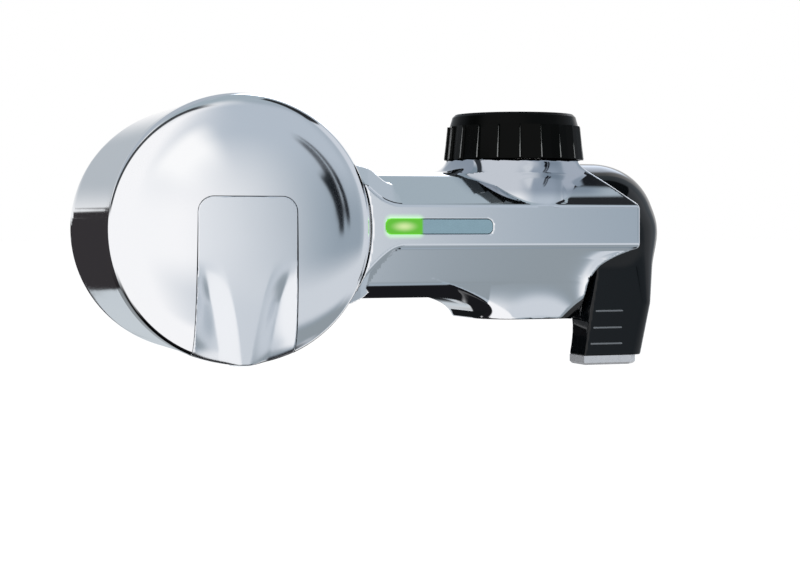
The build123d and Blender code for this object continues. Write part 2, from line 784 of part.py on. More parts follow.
# Filter head: the plastic core that carries dome, duct, cup and cartridge
head_front = rim_front - dome_band - dome_depth + panel_thickness + 1.4
socket_radius = neck_radius + 0.35
head_neck_radius = cup_radius - drum_wall - 1.1
head_neck_end = rim_rear + head_neck_length
cartridge_front = head_neck_end - cartridge_inset
with BuildPart() as filter_head:
    with BuildSketch(drum_plane()):
        with BuildLine():
            Polyline(
                (socket_radius, head_front + 2),
                (0, head_front + 2),
                (0, head_front),
                (drum_radius - drum_wall - 8.0, head_front),
                (drum_radius - drum_wall - slip_gap, rim_front - dome_band + 0.5),
                (drum_radius - drum_wall - slip_gap, rim_front + 0.1),
                (drum_radius - head_wall, rim_front + 0.1),
                (drum_radius - head_wall, rim_rear - 0.1),
                (head_neck_radius, rim_rear - 0.1),
                (head_neck_radius, rim_rear + 3.0),
                (head_neck_radius - 1.0, rim_rear + 3.0),
                (head_neck_radius - 1.0, rim_rear + 5.2),
                (head_neck_radius, rim_rear + 5.2),
                (head_neck_radius, head_neck_end),
                (cartridge_radius + 0.4, head_neck_end),
                (cartridge_radius + 0.4, cartridge_front - 1.0),
                (socket_radius + 2.4, cartridge_front - 1.0),
                (socket_radius + 2.4, cartridge_front - 0.6),
                (socket_radius, cartridge_front - 0.6),
                close=True,
            )
        make_face()
    revolve(axis=drum_axis)
    # slot where the duct enters
    with BuildSketch(end_plane(duct_end_x - head_wall)):
        with Locations(((arm_front_y + arm_rear_y) / 2, 0)):
            Rectangle(arm_rear_y - arm_front_y + 0.1, duct_height + 0.1)
    extrude(amount=duct_inset + 8.5, mode=Mode.SUBTRACT)
    # seat of the outlet nozzle
    with BuildSketch(Plane.XY.offset(axis_z - nozzle_drop)):
        with Locations((drum_x, nozzle_y)):
            Circle(nozzle_radius + slip_gap)
    extrude(amount=nozzle_length + 0.1, mode=Mode.SUBTRACT)
    add(panel_solid(-slip_gap, panel_thickness + slip_gap), mode=Mode.SUBTRACT)
filter_head.part.label = "filter_head"
export_step(filter_head.part, "parts/filter_head.step")

# Outlet nozzle at the bottom of the dome
with BuildPart() as outlet_nozzle:
    with BuildSketch(Plane.XY.offset(axis_z - nozzle_drop)):
        with Locations((drum_x, nozzle_y)):
            Circle(nozzle_radius)
            Circle(nozzle_bore_radius, mode=Mode.SUBTRACT)
    extrude(amount=nozzle_length)
    fillet(outlet_nozzle.edges().group_by(Axis.Z)[0], 0.3)
outlet_nozzle.part.label = "outlet_nozzle"
export_step(outlet_nozzle.part, "parts/outlet_nozzle.step")

# Rear cup: the chrome cover that twists and pulls off to change the filter
def cup_solid(inset):
    """Whole cup as a closed solid with a full, rounded end."""
    reach = cup_rear_radius - inset
    straight_end = rim_y + cup_straight
    end = cup_end - inset
    with BuildPart(mode=Mode.PRIVATE) as whole:
        with BuildSketch(drum_plane()):
            with BuildLine():
                Line((0, rim_rear), (cup_radius - inset, rim_rear))
                Line((cup_radius - inset, rim_rear), (reach, straight_end))
                bow = Bezier(
                    (reach, straight_end),
                    (reach, straight_end + (end - straight_end) * 0.8),
                    (reach * 0.82, end),
                    (reach * 0.4, end),
                    (0, end),
                )
                Line(bow @ 1, (0, rim_rear))
            make_face()
        revolve(axis=drum_axis)
    return whole.part


with BuildPart() as rear_cup:
    add(cup_solid(0))
    add(cup_solid(drum_wall), mode=Mode.SUBTRACT)
rear_cup.part.label = "rear_cup"
export_step(rear_cup.part, "parts/rear_cup.step")


def o_ring(plane_y, inner_radius, thickness, center_x, center_z):
    """Rubber ring lying across the drum axis."""
    with BuildPart(mode=Mode.PRIVATE) as ring:
        with BuildSketch(Plane(origin=(center_x, plane_y, center_z), x_dir=(1, 0, 0), z_dir=(0, 0, 1))):
            with Locations((inner_radius + thickness / 2, 0)):
                Circle(thickness / 2)
        revolve(axis=Axis((center_x, 0, center_z), (0, 1, 0)))
    return ring.part


with BuildPart() as cup_seal:
    add(o_ring(rim_rear + 4.1, head_neck_radius - 1.0, 2.0, drum_x, axis_z))
cup_seal.part.label = "cup_seal"
export_step(cup_seal.part, "parts/cup_seal.step")

# Filter cartridge: shell, cap with its neck, pleated sleeve and carbon block
neck_end = cartridge_front - neck_length
seal_low = neck_radius - seal_thickness
neck_grooves = [neck_end + place for place in neck_groove_places]
with BuildPart() as cartridge_cap:
    with BuildSketch(drum_plane()):
        with BuildLine():
            Polyline(
                (neck_bore_radius, cartridge_front + cartridge_cap_thickness),
                (neck_bore_radius, neck_end),
                (neck_radius, neck_end),
                (neck_radius, neck_grooves[0] - groove_half_width),
                (seal_low, neck_grooves[0] - groove_half_width),
                (seal_low, neck_grooves[0] + groove_half_width),
                (neck_radius, neck_grooves[0] + groove_half_width),
                (neck_radius, neck_grooves[1] - groove_half_width),
                (seal_low, neck_grooves[1] - groove_half_width),
                (seal_low, neck_grooves[1] + groove_half_width),
                (neck_radius, neck_grooves[1] + groove_half_width),
                (neck_radius, cartridge_front),
                (cartridge_radius, cartridge_front),
                (cartridge_radius, cartridge_front + cartridge_cap_thickness),
                close=True,
            )
        make_face()
    revolve(axis=drum_axis)
cartridge_cap.part.label = "cartridge_cap"
export_step(cartridge_cap.part, "parts/cartridge_cap.step")

with BuildPart() as cartridge_seals:
    for groove in neck_grooves:
        add(o_ring(groove, seal_low + 0.02, seal_thickness, drum_x, axis_z))
cartridge_seals.part.label = "cartridge_seals"
export_step(cartridge_seals.part, "parts/cartridge_seals.step")

cartridge_back = cup_end - drum_wall - cartridge_end_room
filling_front = cartridge_front + cartridge_cap_thickness
filling_back = cartridge_back - cartridge_wall
filling_end = filling_back - carbon_end_room
with BuildPart() as cartridge_shell:
    with BuildSketch(drum_plane()):
        with BuildLine():
            Polyline(
                (0, cartridge_back),
                (cartridge_radius - cartridge_end_taper, cartridge_back),
                (cartridge_radius - 0.6, cartridge_back - 1.5 * cartridge_end_taper),
                (cartridge_radius, filling_front),
                (cartridge_radius - cartridge_wall, filling_front),
                (cartridge_radius - 0.6 - cartridge_wall, cartridge_back - 1.5 * cartridge_end_taper),
                (cartridge_radius - cartridge_end_taper - cartridge_wall, filling_back),
                (0, filling_back),
                close=True,
            )
        make_face()
    revolve(axis=drum_axis)
cartridge_shell.part.label = "cartridge_shell"
export_step(cartridge_shell.part, "parts/cartridge_shell.step")

with BuildPart() as carbon_block:
    with BuildSketch(front_plane(filling_end)):
        with Locations((drum_x, 0)):
            Circle(carbon_radius)
            Circle(carbon_bore_radius, mode=Mode.SUBTRACT)
    extrude(amount=filling_end - filling_front)
carbon_block.part.label = "carbon_block"
export_step(carbon_block.part, "parts/carbon_block.step")

with BuildPart() as prefilter_sleeve:
    with BuildSketch(front_plane(filling_end)):
        with Locations((drum_x, 0)):
            Circle(carbon_radius + sleeve_thickness)
            Circle(carbon_radius + 0.02, mode=Mode.SUBTRACT)
    extrude(amount=filling_end - filling_front)
prefilter_sleeve.part.label = "prefilter_sleeve"
export_step(prefilter_sleeve.part, "parts/prefilter_sleeve.step")

# Diverter lever: round hub on the valve's axis, with a paddle hanging from its front
with BuildPart() as diverter_lever:
    with BuildSketch(front_plane(paddle_front)):
        with BuildLine():
            side_line = Line((paddle_right_bottom, paddle_bottom), (paddle_right_top, -9))
            shoulder_curve = Spline(
                side_line @ 1, (paddle_right_top - 6, 0.5), tangents=(side_line % 1, (-1, 0.35))
            )
            Polyline(shoulder_curve @ 1, (lever_foot_x, 0.5), (lever_foot_x, paddle_bottom), side_line @ 0)
        make_face()
    extrude(amount=-(hub_radius - paddle_front))
    with BuildSketch(end_plane(lever_foot_x - 1)):
        with BuildLine():
            back_curve = Spline(
                (paddle_back, paddle_bottom),
                (paddle_back + 2.0, paddle_bottom + 10),
                (hub_radius * 0.55, -hub_radius * 0.835),
                tangents=((0, 1), (0.835, 0.55)),
            )
            Polyline(
                back_curve @ 1, (hub_radius * 0.55, 0.5), (paddle_front, 0.5), (paddle_front, paddle_bottom),
                back_curve @ 0,
            )
        make_face()
    extrude(amount=paddle_right_top, mode=Mode.INTERSECT)
    front_edges = diverter_lever.faces().sort_by(Axis.Y)[0].edges()
    fillet(front_edges.filter_by(lambda edge: edge.center().X > paddle_right_bottom), 4.0)
    # inner side: the paddle's foot passes outside the bar as it swings
    with BuildSketch(lever_plane()):
        with BuildLine():
            Polyline(
                (lever_foot_x - 2, 0),
                (lever_inner_x, 0),
                (lever_inner_x, lever_foot_radius - 2.2),
                (lever_foot_x, lever_foot_radius),
                (lever_foot_x - 2, lever_foot_radius),
                close=True,
            )
        make_face()
    revolve(axis=lever_axis, mode=Mode.SUBTRACT)
    with BuildSketch(lever_plane()):
        with BuildLine():
            hub_bow = Bezier(
                (hub_center_x, hub_radius),
                (hub_center_x + hub_radius * 0.60, hub_radius),
                (hub_center_x + hub_radius, hub_radius * 0.60),
                (hub_center_x + hub_radius, 0),
            )
            Polyline(hub_bow @ 1, (lever_inner_x, 0), (lever_inner_x, hub_radius), hub_bow @ 0)
        make_face()
    revolve(axis=lever_axis)
    # blind socket for the spindle
    with BuildSketch(end_plane(lever_inner_x)):
        Circle(spindle_radius + 0.02)
    extrude(amount=spindle_socket_depth, mode=Mode.SUBTRACT)
    # three grip ridges
    with BuildSketch(front_plane(paddle_front)):
        with Locations((grip_center_x, paddle_bottom + 3.8 + grip_pitch)):
            with GridLocations(1, grip_pitch, 1, 3):
                RectangleRounded(grip_width, grip_height, grip_height / 2 - 0.05)
    extrude(amount=0.45)
diverter_lever.part.label = "diverter_lever"
export_step(diverter_lever.part, "parts/diverter_lever.step")

# Bright tip under the paddle
with BuildPart() as lever_tip:
    with BuildSketch(Plane.XY.offset(axis_z + paddle_bottom)):
        with BuildLine():
            Polyline(
                (lever_foot_x + 0.3, paddle_front + 0.2),
                (paddle_right_bottom - 4.0, paddle_front + 0.2),
                (paddle_right_bottom - 0.5, paddle_front + 3.7),
                (paddle_right_bottom - 0.5, paddle_back - 0.3),
                (lever_foot_x + 0.3, paddle_back - 0.3),
                close=True,
            )
        make_face()
    extrude(amount=-tip_thickness)
    chamfer(lever_tip.faces().sort_by(Axis.Z)[0].edges(), 0.6)
lever_tip.part.label = "lever_tip"
export_step(lever_tip.part, "parts/lever_tip.step")

# Valve spindle, cross-drilled, and its two rubber rings
spindle_start = lever_inner_x + spindle_socket_depth - 0.1 - spindle_length
seal_places = (spindle_radius + 1.4, spindle_radius + 4.4)
with BuildPart() as valve_spindle:
    with BuildSketch(lever_plane()):
        with BuildLine():
            low = spindle_radius - seal_thickness
            Polyline(
                (spindle_start, 0),
                (spindle_start, spindle_radius),
                (seal_places[0] - groove_half_width, spindle_radius),
                (seal_places[0] - groove_half_width, low),
                (seal_places[0] + groove_half_width, low),
                (seal_places[0] + groove_half_width, spindle_radius),
                (seal_places[1] - groove_half_width, spindle_radius),
                (seal_places[1] - groove_half_width, low),
                (seal_places[1] + groove_half_width, low),
                (seal_places[1] + groove_half_width, spindle_radius),
                (spindle_start + spindle_length, spindle_radius),
                (spindle_start + spindle_length, 0),
                close=True,
            )
        make_face()
    revolve(axis=lever_axis)
    with Locations((0, 0, axis_z)):
        Cylinder(spindle_port_radius, 4 * spindle_radius, mode=Mode.SUBTRACT)
valve_spindle.part.label = "valve_spindle"
export_step(valve_spindle.part, "parts/valve_spindle.step")

with BuildPart() as spindle_seals:
    for place in seal_places:
        with BuildSketch(lever_plane()):
            with Locations((place, low + 0.02 + seal_thickness / 2)):
                Circle(seal_thickness / 2 - 0.01)
        revolve(axis=lever_axis)
spindle_seals.part.label = "spindle_seals"
export_step(spindle_seals.part, "parts/spindle_seals.step")
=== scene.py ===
import bpy
import json
import numpy as np
from math import cos, hypot, pi, radians, sin
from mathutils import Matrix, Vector


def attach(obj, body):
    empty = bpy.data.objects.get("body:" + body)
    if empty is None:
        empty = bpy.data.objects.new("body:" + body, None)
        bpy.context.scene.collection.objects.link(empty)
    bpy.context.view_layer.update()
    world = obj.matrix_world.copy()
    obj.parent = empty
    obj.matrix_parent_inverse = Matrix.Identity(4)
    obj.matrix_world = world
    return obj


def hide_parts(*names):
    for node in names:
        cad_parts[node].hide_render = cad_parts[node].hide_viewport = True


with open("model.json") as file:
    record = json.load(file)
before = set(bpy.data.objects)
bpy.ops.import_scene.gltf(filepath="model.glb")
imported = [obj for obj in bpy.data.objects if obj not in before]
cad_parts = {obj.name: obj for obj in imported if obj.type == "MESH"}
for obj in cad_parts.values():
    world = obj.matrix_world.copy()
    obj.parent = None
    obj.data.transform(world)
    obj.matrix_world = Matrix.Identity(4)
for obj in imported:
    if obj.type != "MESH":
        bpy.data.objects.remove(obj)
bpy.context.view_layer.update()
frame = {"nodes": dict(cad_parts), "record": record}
nodes = frame["nodes"]
scene = bpy.context.scene
scene.view_settings.view_transform = "Standard"

# Shapes are in millimetres, and MM turns them into metres
MM = 0.001
AXIS_Z = -34.0
DRUM_X, DRUM_RADIUS = -90.3, 37.0

# Node helpers


def new_tree(name):
    """An empty material with its output node."""
    material = bpy.data.materials.new(name)
    material.use_nodes = True
    tree = material.node_tree
    tree.nodes.clear()
    output = tree.nodes.new("ShaderNodeOutputMaterial")
    return material, tree, output


def add_node(tree, kind, **settings):
    """A node with its settings; socket values go in as a dict called inputs."""
    node = tree.nodes.new(kind)
    for key, value in settings.pop("inputs", {}).items():
        node.inputs[key].default_value = value
    for key, value in settings.items():
        setattr(node, key, value)
    return node


def math_node(tree, operation, first, second=None, clamp=False):
    """A Math node; each operand is a number or an output socket."""
    node = tree.nodes.new("ShaderNodeMath")
    node.operation = operation
    node.use_clamp = clamp
    for index, operand in enumerate((first, second)):
        if operand is None:
            continue
        if isinstance(operand, (int, float)):
            node.inputs[index].default_value = operand
        else:
            tree.links.new(operand, node.inputs[index])
    return node.outputs[0]


def smooth_step(tree, value, low, high):
    """0 below low, 1 above high, smooth between them."""
    node = add_node(tree, "ShaderNodeMapRange", interpolation_type="SMOOTHSTEP")
    node.inputs["From Min"].default_value = low
    node.inputs["From Max"].default_value = high
    tree.links.new(value, node.inputs["Value"])
    return node.outputs["Result"]


def mix_color(tree, factor, first, second):
    """Colour mix; each of the three is a value or an output socket."""
    node = add_node(tree, "ShaderNodeMix", data_type="RGBA")
    for socket, operand in ((node.inputs[0], factor), (node.inputs[6], first), (node.inputs[7], second)):
        if isinstance(operand, (int, float, tuple)):
            socket.default_value = operand
        else:
            tree.links.new(operand, socket)
    return node.outputs[2]


def all_of(tree, masks):
    """Product of the masks."""
    product = masks[0]
    for mask in masks[1:]:
        product = math_node(tree, "MULTIPLY", product, mask)
    return product


def length_of(tree, first, second):
    """Length of the vector with these two parts."""
    squares = math_node(tree, "ADD", math_node(tree, "MULTIPLY", first, first),
                        math_node(tree, "MULTIPLY", second, second))
    return math_node(tree, "POWER", squares, 0.5)


def angle_of(tree, rise, run):
    """Angle of the direction with this rise and run, in degrees."""
    return math_node(tree, "MULTIPLY", math_node(tree, "ARCTAN2", rise, run), 180 / pi)


def outside(tree, value, middle, half):
    """How far value lies from the span of half on each side of middle; 0 within it."""
    off = math_node(tree, "ABSOLUTE", math_node(tree, "SUBTRACT", value, middle))
    return math_node(tree, "MAXIMUM", math_node(tree, "SUBTRACT", off, half), 0.0)


def place_of(tree, kind):
    """The x, y and z sockets of a texture coordinate."""
    coords = tree.nodes.new("ShaderNodeTexCoord")
    place = tree.nodes.new("ShaderNodeSeparateXYZ")
    tree.links.new(coords.outputs[kind], place.inputs[0])
    return tuple(place.outputs)


def tint(tree, shader, mask, color):
    """Lays a colour over the shader's base colour where the mask is 1."""
    base = shader.inputs["Base Color"].links[0].from_socket
    tree.links.new(mix_color(tree, mask, base, color), shader.inputs["Base Color"])


# Camera

camera_data = bpy.data.cameras.new("camera")
camera_data.lens = 81.0
camera_data.sensor_width = 36.0
camera_data.sensor_fit = "HORIZONTAL"
camera_data.shift_x = 0.04875
camera_data.shift_y = -0.0665
camera_data.clip_start = 0.01
camera_data.clip_end = 100.0
camera = bpy.data.objects.new("camera", camera_data)
camera.location = (-0.2224, -0.4937, -0.0340)
camera.rotation_euler = (radians(90), 0, radians(-19.4))
scene.collection.objects.link(camera)
scene.camera = camera

# Studio: world, lamps and floor

world = bpy.data.worlds.new("studio")
scene.world = world
world.use_nodes = True
tree = world.node_tree
tree.nodes.clear()
output = tree.nodes.new("ShaderNodeOutputWorld")
soft = add_node(tree, "ShaderNodeBackground", inputs={"Color": (0.93, 0.96, 1.0, 1), "Strength": 0.95})
white = add_node(tree, "ShaderNodeBackground", inputs={"Color": (1, 1, 1, 1), "Strength": 1.0})
path = tree.nodes.new("ShaderNodeLightPath")
shown = math_node(tree, "ADD", path.outputs["Is Camera Ray"], path.outputs["Is Glossy Ray"])
shown = math_node(tree, "ADD", shown, path.outputs["Is Transmission Ray"], clamp=True)
mix = tree.nodes.new("ShaderNodeMixShader")
tree.links.new(shown, mix.inputs[0])
tree.links.new(soft.outputs[0], mix.inputs[1])
tree.links.new(white.outputs[0], mix.inputs[2])
tree.links.new(mix.outputs[0], output.inputs[0])


def area_lamp(name, place, target, size, power):
    """A soft rectangular lamp that points at target."""
    data = bpy.data.lights.new(name, "AREA")
    data.shape = "RECTANGLE"
    data.size, data.size_y = size
    data.energy = power
    lamp = bpy.data.objects.new(name, data)
    lamp.location = place
    lamp.rotation_euler = (Vector(target) - Vector(place)).to_track_quat("-Z", "Y").to_euler()
    lamp.visible_camera = False
    lamp.visible_glossy = False
    scene.collection.objects.link(lamp)


center = (-0.04, 0.0, -0.035)
area_lamp("key", (-0.7, -0.9, 0.9), center, (0.7, 0.7), 9.0)
area_lamp("fill", (0.9, -0.7, 0.3), center, (0.6, 0.6), 3.5)
area_lamp("rim", (0.2, 0.9, 0.7), center, (0.8, 0.4), 4.0)

# The floor is pale and takes a little of the object's shadow
FLOOR_Z, FLOOR_HALF = -0.26, 30
mesh = bpy.data.meshes.new("floor")
mesh.from_pydata(
    [(-FLOOR_HALF, -FLOOR_HALF, FLOOR_Z), (FLOOR_HALF, -FLOOR_HALF, FLOOR_Z),
     (FLOOR_HALF, FLOOR_HALF, FLOOR_Z), (-FLOOR_HALF, FLOOR_HALF, FLOOR_Z)],
    [], [(0, 1, 2, 3)])
floor = bpy.data.objects.new("floor", mesh)
scene.collection.objects.link(floor)
material, tree, output = new_tree("floor")
glow = add_node(tree, "ShaderNodeEmission", inputs={"Color": (1, 1, 1, 1), "Strength": 1.1})
paint = add_node(tree, "ShaderNodeBsdfDiffuse", inputs={"Color": (0.94, 0.94, 0.94, 1)})
mix = add_node(tree, "ShaderNodeMixShader", inputs={0: 0.25})
tree.links.new(glow.outputs[0], mix.inputs[1])
tree.links.new(paint.outputs[0], mix.inputs[2])
tree.links.new(mix.outputs[0], output.inputs[0])
mesh.materials.append(material)
floor.visible_glossy = False

# Reflected studio
# A large shell round the object that only its gloss sees: pale walls with grey and dark cards.


def gloss_only(piece):
    """Lets reflections see the piece, and nothing else."""
    piece.visible_camera = False
    piece.visible_diffuse = False
    piece.visible_shadow = False
    piece.visible_transmission = False


shell_data = bpy.data.meshes.new("studio_shell")
rings, turns, reach = 24, 48, 4.0
points = [
    (reach * sin(pi * ring / rings) * cos(2 * pi * turn / turns),
     reach * sin(pi * ring / rings) * sin(2 * pi * turn / turns),
     reach * cos(pi * ring / rings))
    for ring in range(rings + 1) for turn in range(turns)
]
faces = [
    (ring * turns + turn, ring * turns + (turn + 1) % turns,
     (ring + 1) * turns + (turn + 1) % turns, (ring + 1) * turns + turn)
    for ring in range(rings) for turn in range(turns)
]
shell_data.from_pydata(points, [], faces)
studio_shell = bpy.data.objects.new("studio_shell", shell_data)
scene.collection.objects.link(studio_shell)
gloss_only(studio_shell)

# Azimuth is 0 in front, positive to the right, and runs from -240 to 120 degrees: the turn puts its seam
# at the right rear
SEAM_TURN = 60
material, tree, output = new_tree("studio_shell")
coords = tree.nodes.new("ShaderNodeTexCoord")
turned = add_node(tree, "ShaderNodeVectorRotate", rotation_type="Z_AXIS",
                  inputs={"Angle": radians(SEAM_TURN)})
tree.links.new(coords.outputs["Object"], turned.inputs["Vector"])
split = tree.nodes.new("ShaderNodeSeparateXYZ")
tree.links.new(turned.outputs[0], split.inputs[0])
turned_x, turned_y, turned_z = split.outputs
minus_y = math_node(tree, "MULTIPLY", turned_y, -1.0)
azimuth = math_node(tree, "ADD", angle_of(tree, turned_x, minus_y), -SEAM_TURN)
elevation = angle_of(tree, turned_z, length_of(tree, turned_x, turned_y))


def card(below, color, left, right, low, high, soft_turn, soft_rise):
    """Paints a soft-edged card over the colour below; the four limits are degrees."""
    mask = all_of(tree, (
        smooth_step(tree, azimuth, left - soft_turn, left + soft_turn),
        smooth_step(tree, azimuth, right + soft_turn, right - soft_turn),
        smooth_step(tree, elevation, low - soft_rise, low + soft_rise),
        smooth_step(tree, elevation, high + soft_rise, high - soft_rise),
    ))
    return mix_color(tree, mask, below, color + (1,))


# Polar angles round the direction that the dome's middle mirrors: a bearing of 0 is to the right, 90 up
MIRROR_AZIMUTH = 15.8
mirror_turn = radians(SEAM_TURN + MIRROR_AZIMUTH)
middle = (sin(mirror_turn), -cos(mirror_turn))
toward = math_node(tree, "ADD", math_node(tree, "MULTIPLY", turned_x, middle[0]),
                   math_node(tree, "MULTIPLY", turned_y, middle[1]))
aside = math_node(tree, "SUBTRACT", math_node(tree, "MULTIPLY", turned_y, middle[0]),
                  math_node(tree, "MULTIPLY", turned_x, middle[1]))
opening = angle_of(tree, length_of(tree, aside, turned_z), toward)
bearing = angle_of(tree, turned_z, aside)


def ring_card(below, color, near, far, start, end, lean_near, lean_far, soft, soft_turn):
    """Paints a curved card round the mirror direction; lean lets each long edge drift as it turns."""
    turned_by = math_node(tree, "SUBTRACT", bearing, start)
    inner = math_node(tree, "SUBTRACT", opening, math_node(tree, "MULTIPLY", turned_by, lean_near))
    outer = math_node(tree, "SUBTRACT", opening, math_node(tree, "MULTIPLY", turned_by, lean_far))
    mask = all_of(tree, (
        smooth_step(tree, inner, near - soft, near + soft),
        smooth_step(tree, outer, far + soft, far - soft),
        smooth_step(tree, bearing, start - soft_turn, start + soft_turn),
        smooth_step(tree, bearing, end + soft_turn, end - soft_turn),
    ))
    return mix_color(tree, mask, below, color + (1,))


BLACK = (0.01, 0.01, 0.012)

# Each card has its colour, its left, right, low and high limits, and the softness of its upright edges
# and of its level edges
ROOM_CARDS = (
    # the right of the room in front: grey, with a darker and a paler card on it
    ((0.44, 0.50, 0.56), 16, 130, -90, 90, 14, 5),
    ((0.30, 0.36, 0.42), 25, 62, -60, 60, 10, 15),
    ((0.62, 0.66, 0.72), 66, 100, -60, 60, 4, 15),
    # upper wall in front, the ceiling, and a black card below it on the right
    ((0.46, 0.52, 0.59), -2, 60, 10, 50, 18, 9),
    ((0.36, 0.43, 0.48), -400, 400, 58, 95, 1, 12),
    ((0.02, 0.022, 0.025), 62, 100, 42, 66.3, 3, 0.8),
    # two grey cards low in front, then the ground, black all round but in front and higher up behind
    ((0.62, 0.66, 0.71), 0, 130, -24, -8, 12, 4),
    ((0.28, 0.32, 0.35), 24, 110, -46, -26, 8, 4),
    (BLACK, 44, 400, -95, -50, 8, 6),
    (BLACK, -400, -192, -95, -50, 2, 6),
    (BLACK, -192, -100, -95, -42, 6, 5),
    (BLACK, -192, -132, -95, -24, 6, 5),
    # behind: a black card low down, seen in the bar's underside, a grey one, and a lamp high up, seen in
    # the lever's rim
    (BLACK, -222, -192, -60, -1, 2, 1),
    ((0.42, 0.47, 0.53), -200, -110, 16, 80, 6, 5),
    ((2.9, 3.2, 3.7), -226, -203, 24, 64, 4, 4),
)

# Each ring card has its colour, its near and far limits, its start and end, the lean of both long edges,
# and the softness of its long edges and of its ends
RING_CARDS = (
    # a white spot to the upper left of the dome's mirror direction
    ((1.0, 1.0, 1.0), 12.0, 28.0, 116, 152, 0.0, 0.0, 5.0, 9.0),
    # dark blades to the right of it, with a paler line between the two blackest
    ((0.09, 0.10, 0.115), 16.6, 25.6, 6, 58, 0.07, -0.03, 0.7, 6.0),
    ((0.40, 0.46, 0.52), 21.4, 22.2, 12, 62, 0.02, 0.02, 0.35, 4.0),
    ((0.008, 0.01, 0.013), 18.0, 20.4, -4, 34, -0.06, 0.02, 0.5, 3.0),
    ((0.012, 0.014, 0.018), 22.4, 25.2, 2, 30, 0.01, -0.01, 0.5, 5.0),
    # a dark arc round its upper left
    ((0.05, 0.055, 0.06), 54.0, 68.0, 102, 168, 1.05, 1.5, 3.0, 5.0),
)

# Two grey cards behind, above and below the dark side card
SIDE_CARDS = (
    ((0.46, 0.50, 0.54), -186, -146, 4, 16, 6, 4),
    ((0.56, 0.61, 0.65), -196, -146, -23, 0, 4, 2),
)

WHITE_WALL = (0.96, 0.96, 0.97, 1)
look = WHITE_WALL
for color, *limits in ROOM_CARDS:
    look = card(look, color, *limits)
for color, *limits in RING_CARDS:
    look = ring_card(look, color, *limits)
for color, *limits in SIDE_CARDS:
    look = card(look, color, *limits)

# Dark card behind, seen in the cup's side: its half height grows from 5 to 11 degrees, and streaks make
# its edges ragged
SIDE_MIDDLE = -5.0
STREAKS_ALONG, STREAKS_UP, STREAK_DEPTH = 0.12, 1.1, 7.0
streak_place = add_node(tree, "ShaderNodeCombineXYZ")
tree.links.new(math_node(tree, "MULTIPLY", azimuth, STREAKS_ALONG), streak_place.inputs[0])
tree.links.new(math_node(tree, "MULTIPLY", elevation, STREAKS_UP), streak_place.inputs[1])
streaks = add_node(tree, "ShaderNodeTexNoise", inputs={"Scale": 1.0, "Detail": 3.0})
tree.links.new(streak_place.outputs[0], streaks.inputs["Vector"])
side_half = add_node(tree, "ShaderNodeMapRange", inputs={
    "From Min": -176.0, "From Max": -162.0, "To Min": 5.0, "To Max": 11.0})
tree.links.new(azimuth, side_half.inputs["Value"])
ragged = math_node(tree, "MULTIPLY", math_node(tree, "SUBTRACT", streaks.outputs["Fac"], 0.5), STREAK_DEPTH)
height_off = math_node(tree, "ABSOLUTE", math_node(tree, "SUBTRACT", elevation, SIDE_MIDDLE))
height_off = math_node(tree, "SUBTRACT", height_off, side_half.outputs[0])
height_off = math_node(tree, "ADD", height_off, ragged)
side_mask = all_of(tree, (
    smooth_step(tree, height_off, 0.7, -0.7),
    smooth_step(tree, azimuth, -189, -185),
    smooth_step(tree, azimuth, -143, -149),
))
look = mix_color(tree, side_mask, look, (0.035, 0.032, 0.035, 1))
glow = tree.nodes.new("ShaderNodeEmission")
tree.links.new(look, glow.inputs["Color"])
tree.links.new(glow.outputs[0], output.inputs[0])
shell_data.materials.append(material)

# Materials


def plain(name, color, rough, metallic=0.0, noise_scale=600.0, noise_depth=0.06, bump=0.0,
          specular=0.5, ior=1.5):
    """Principled material whose colour and roughness wander a little, with an optional fine bump."""
    material, tree, output = new_tree(name)
    shader = add_node(tree, "ShaderNodeBsdfPrincipled",
                      inputs={"Metallic": metallic, "Specular IOR Level": specular, "IOR": ior})
    coords = tree.nodes.new("ShaderNodeTexCoord")
    noise = add_node(tree, "ShaderNodeTexNoise", inputs={"Scale": noise_scale, "Detail": 4.0})
    tree.links.new(coords.outputs["Object"], noise.inputs["Vector"])
    darker = tuple(c * (1 - noise_depth) for c in color) + (1,)
    lighter = tuple(min(1, c * (1 + noise_depth)) for c in color) + (1,)
    tree.links.new(mix_color(tree, noise.outputs["Fac"], darker, lighter), shader.inputs["Base Color"])
    roughness = add_node(tree, "ShaderNodeMapRange",
                         inputs={"To Min": rough * 0.85, "To Max": rough * 1.15})
    tree.links.new(noise.outputs["Fac"], roughness.inputs["Value"])
    tree.links.new(roughness.outputs[0], shader.inputs["Roughness"])
    if bump:
        bumps = add_node(tree, "ShaderNodeBump", inputs={"Strength": bump, "Distance": 0.0001})
        tree.links.new(noise.outputs["Fac"], bumps.inputs["Height"])
        tree.links.new(bumps.outputs[0], shader.inputs["Normal"])
    tree.links.new(shader.outputs[0], output.inputs[0])
    return material, tree, shader


CHROME = {"metallic": 1.0, "noise_scale": 40.0, "noise_depth": 0.01}
STEEL = {"metallic": 1.0}

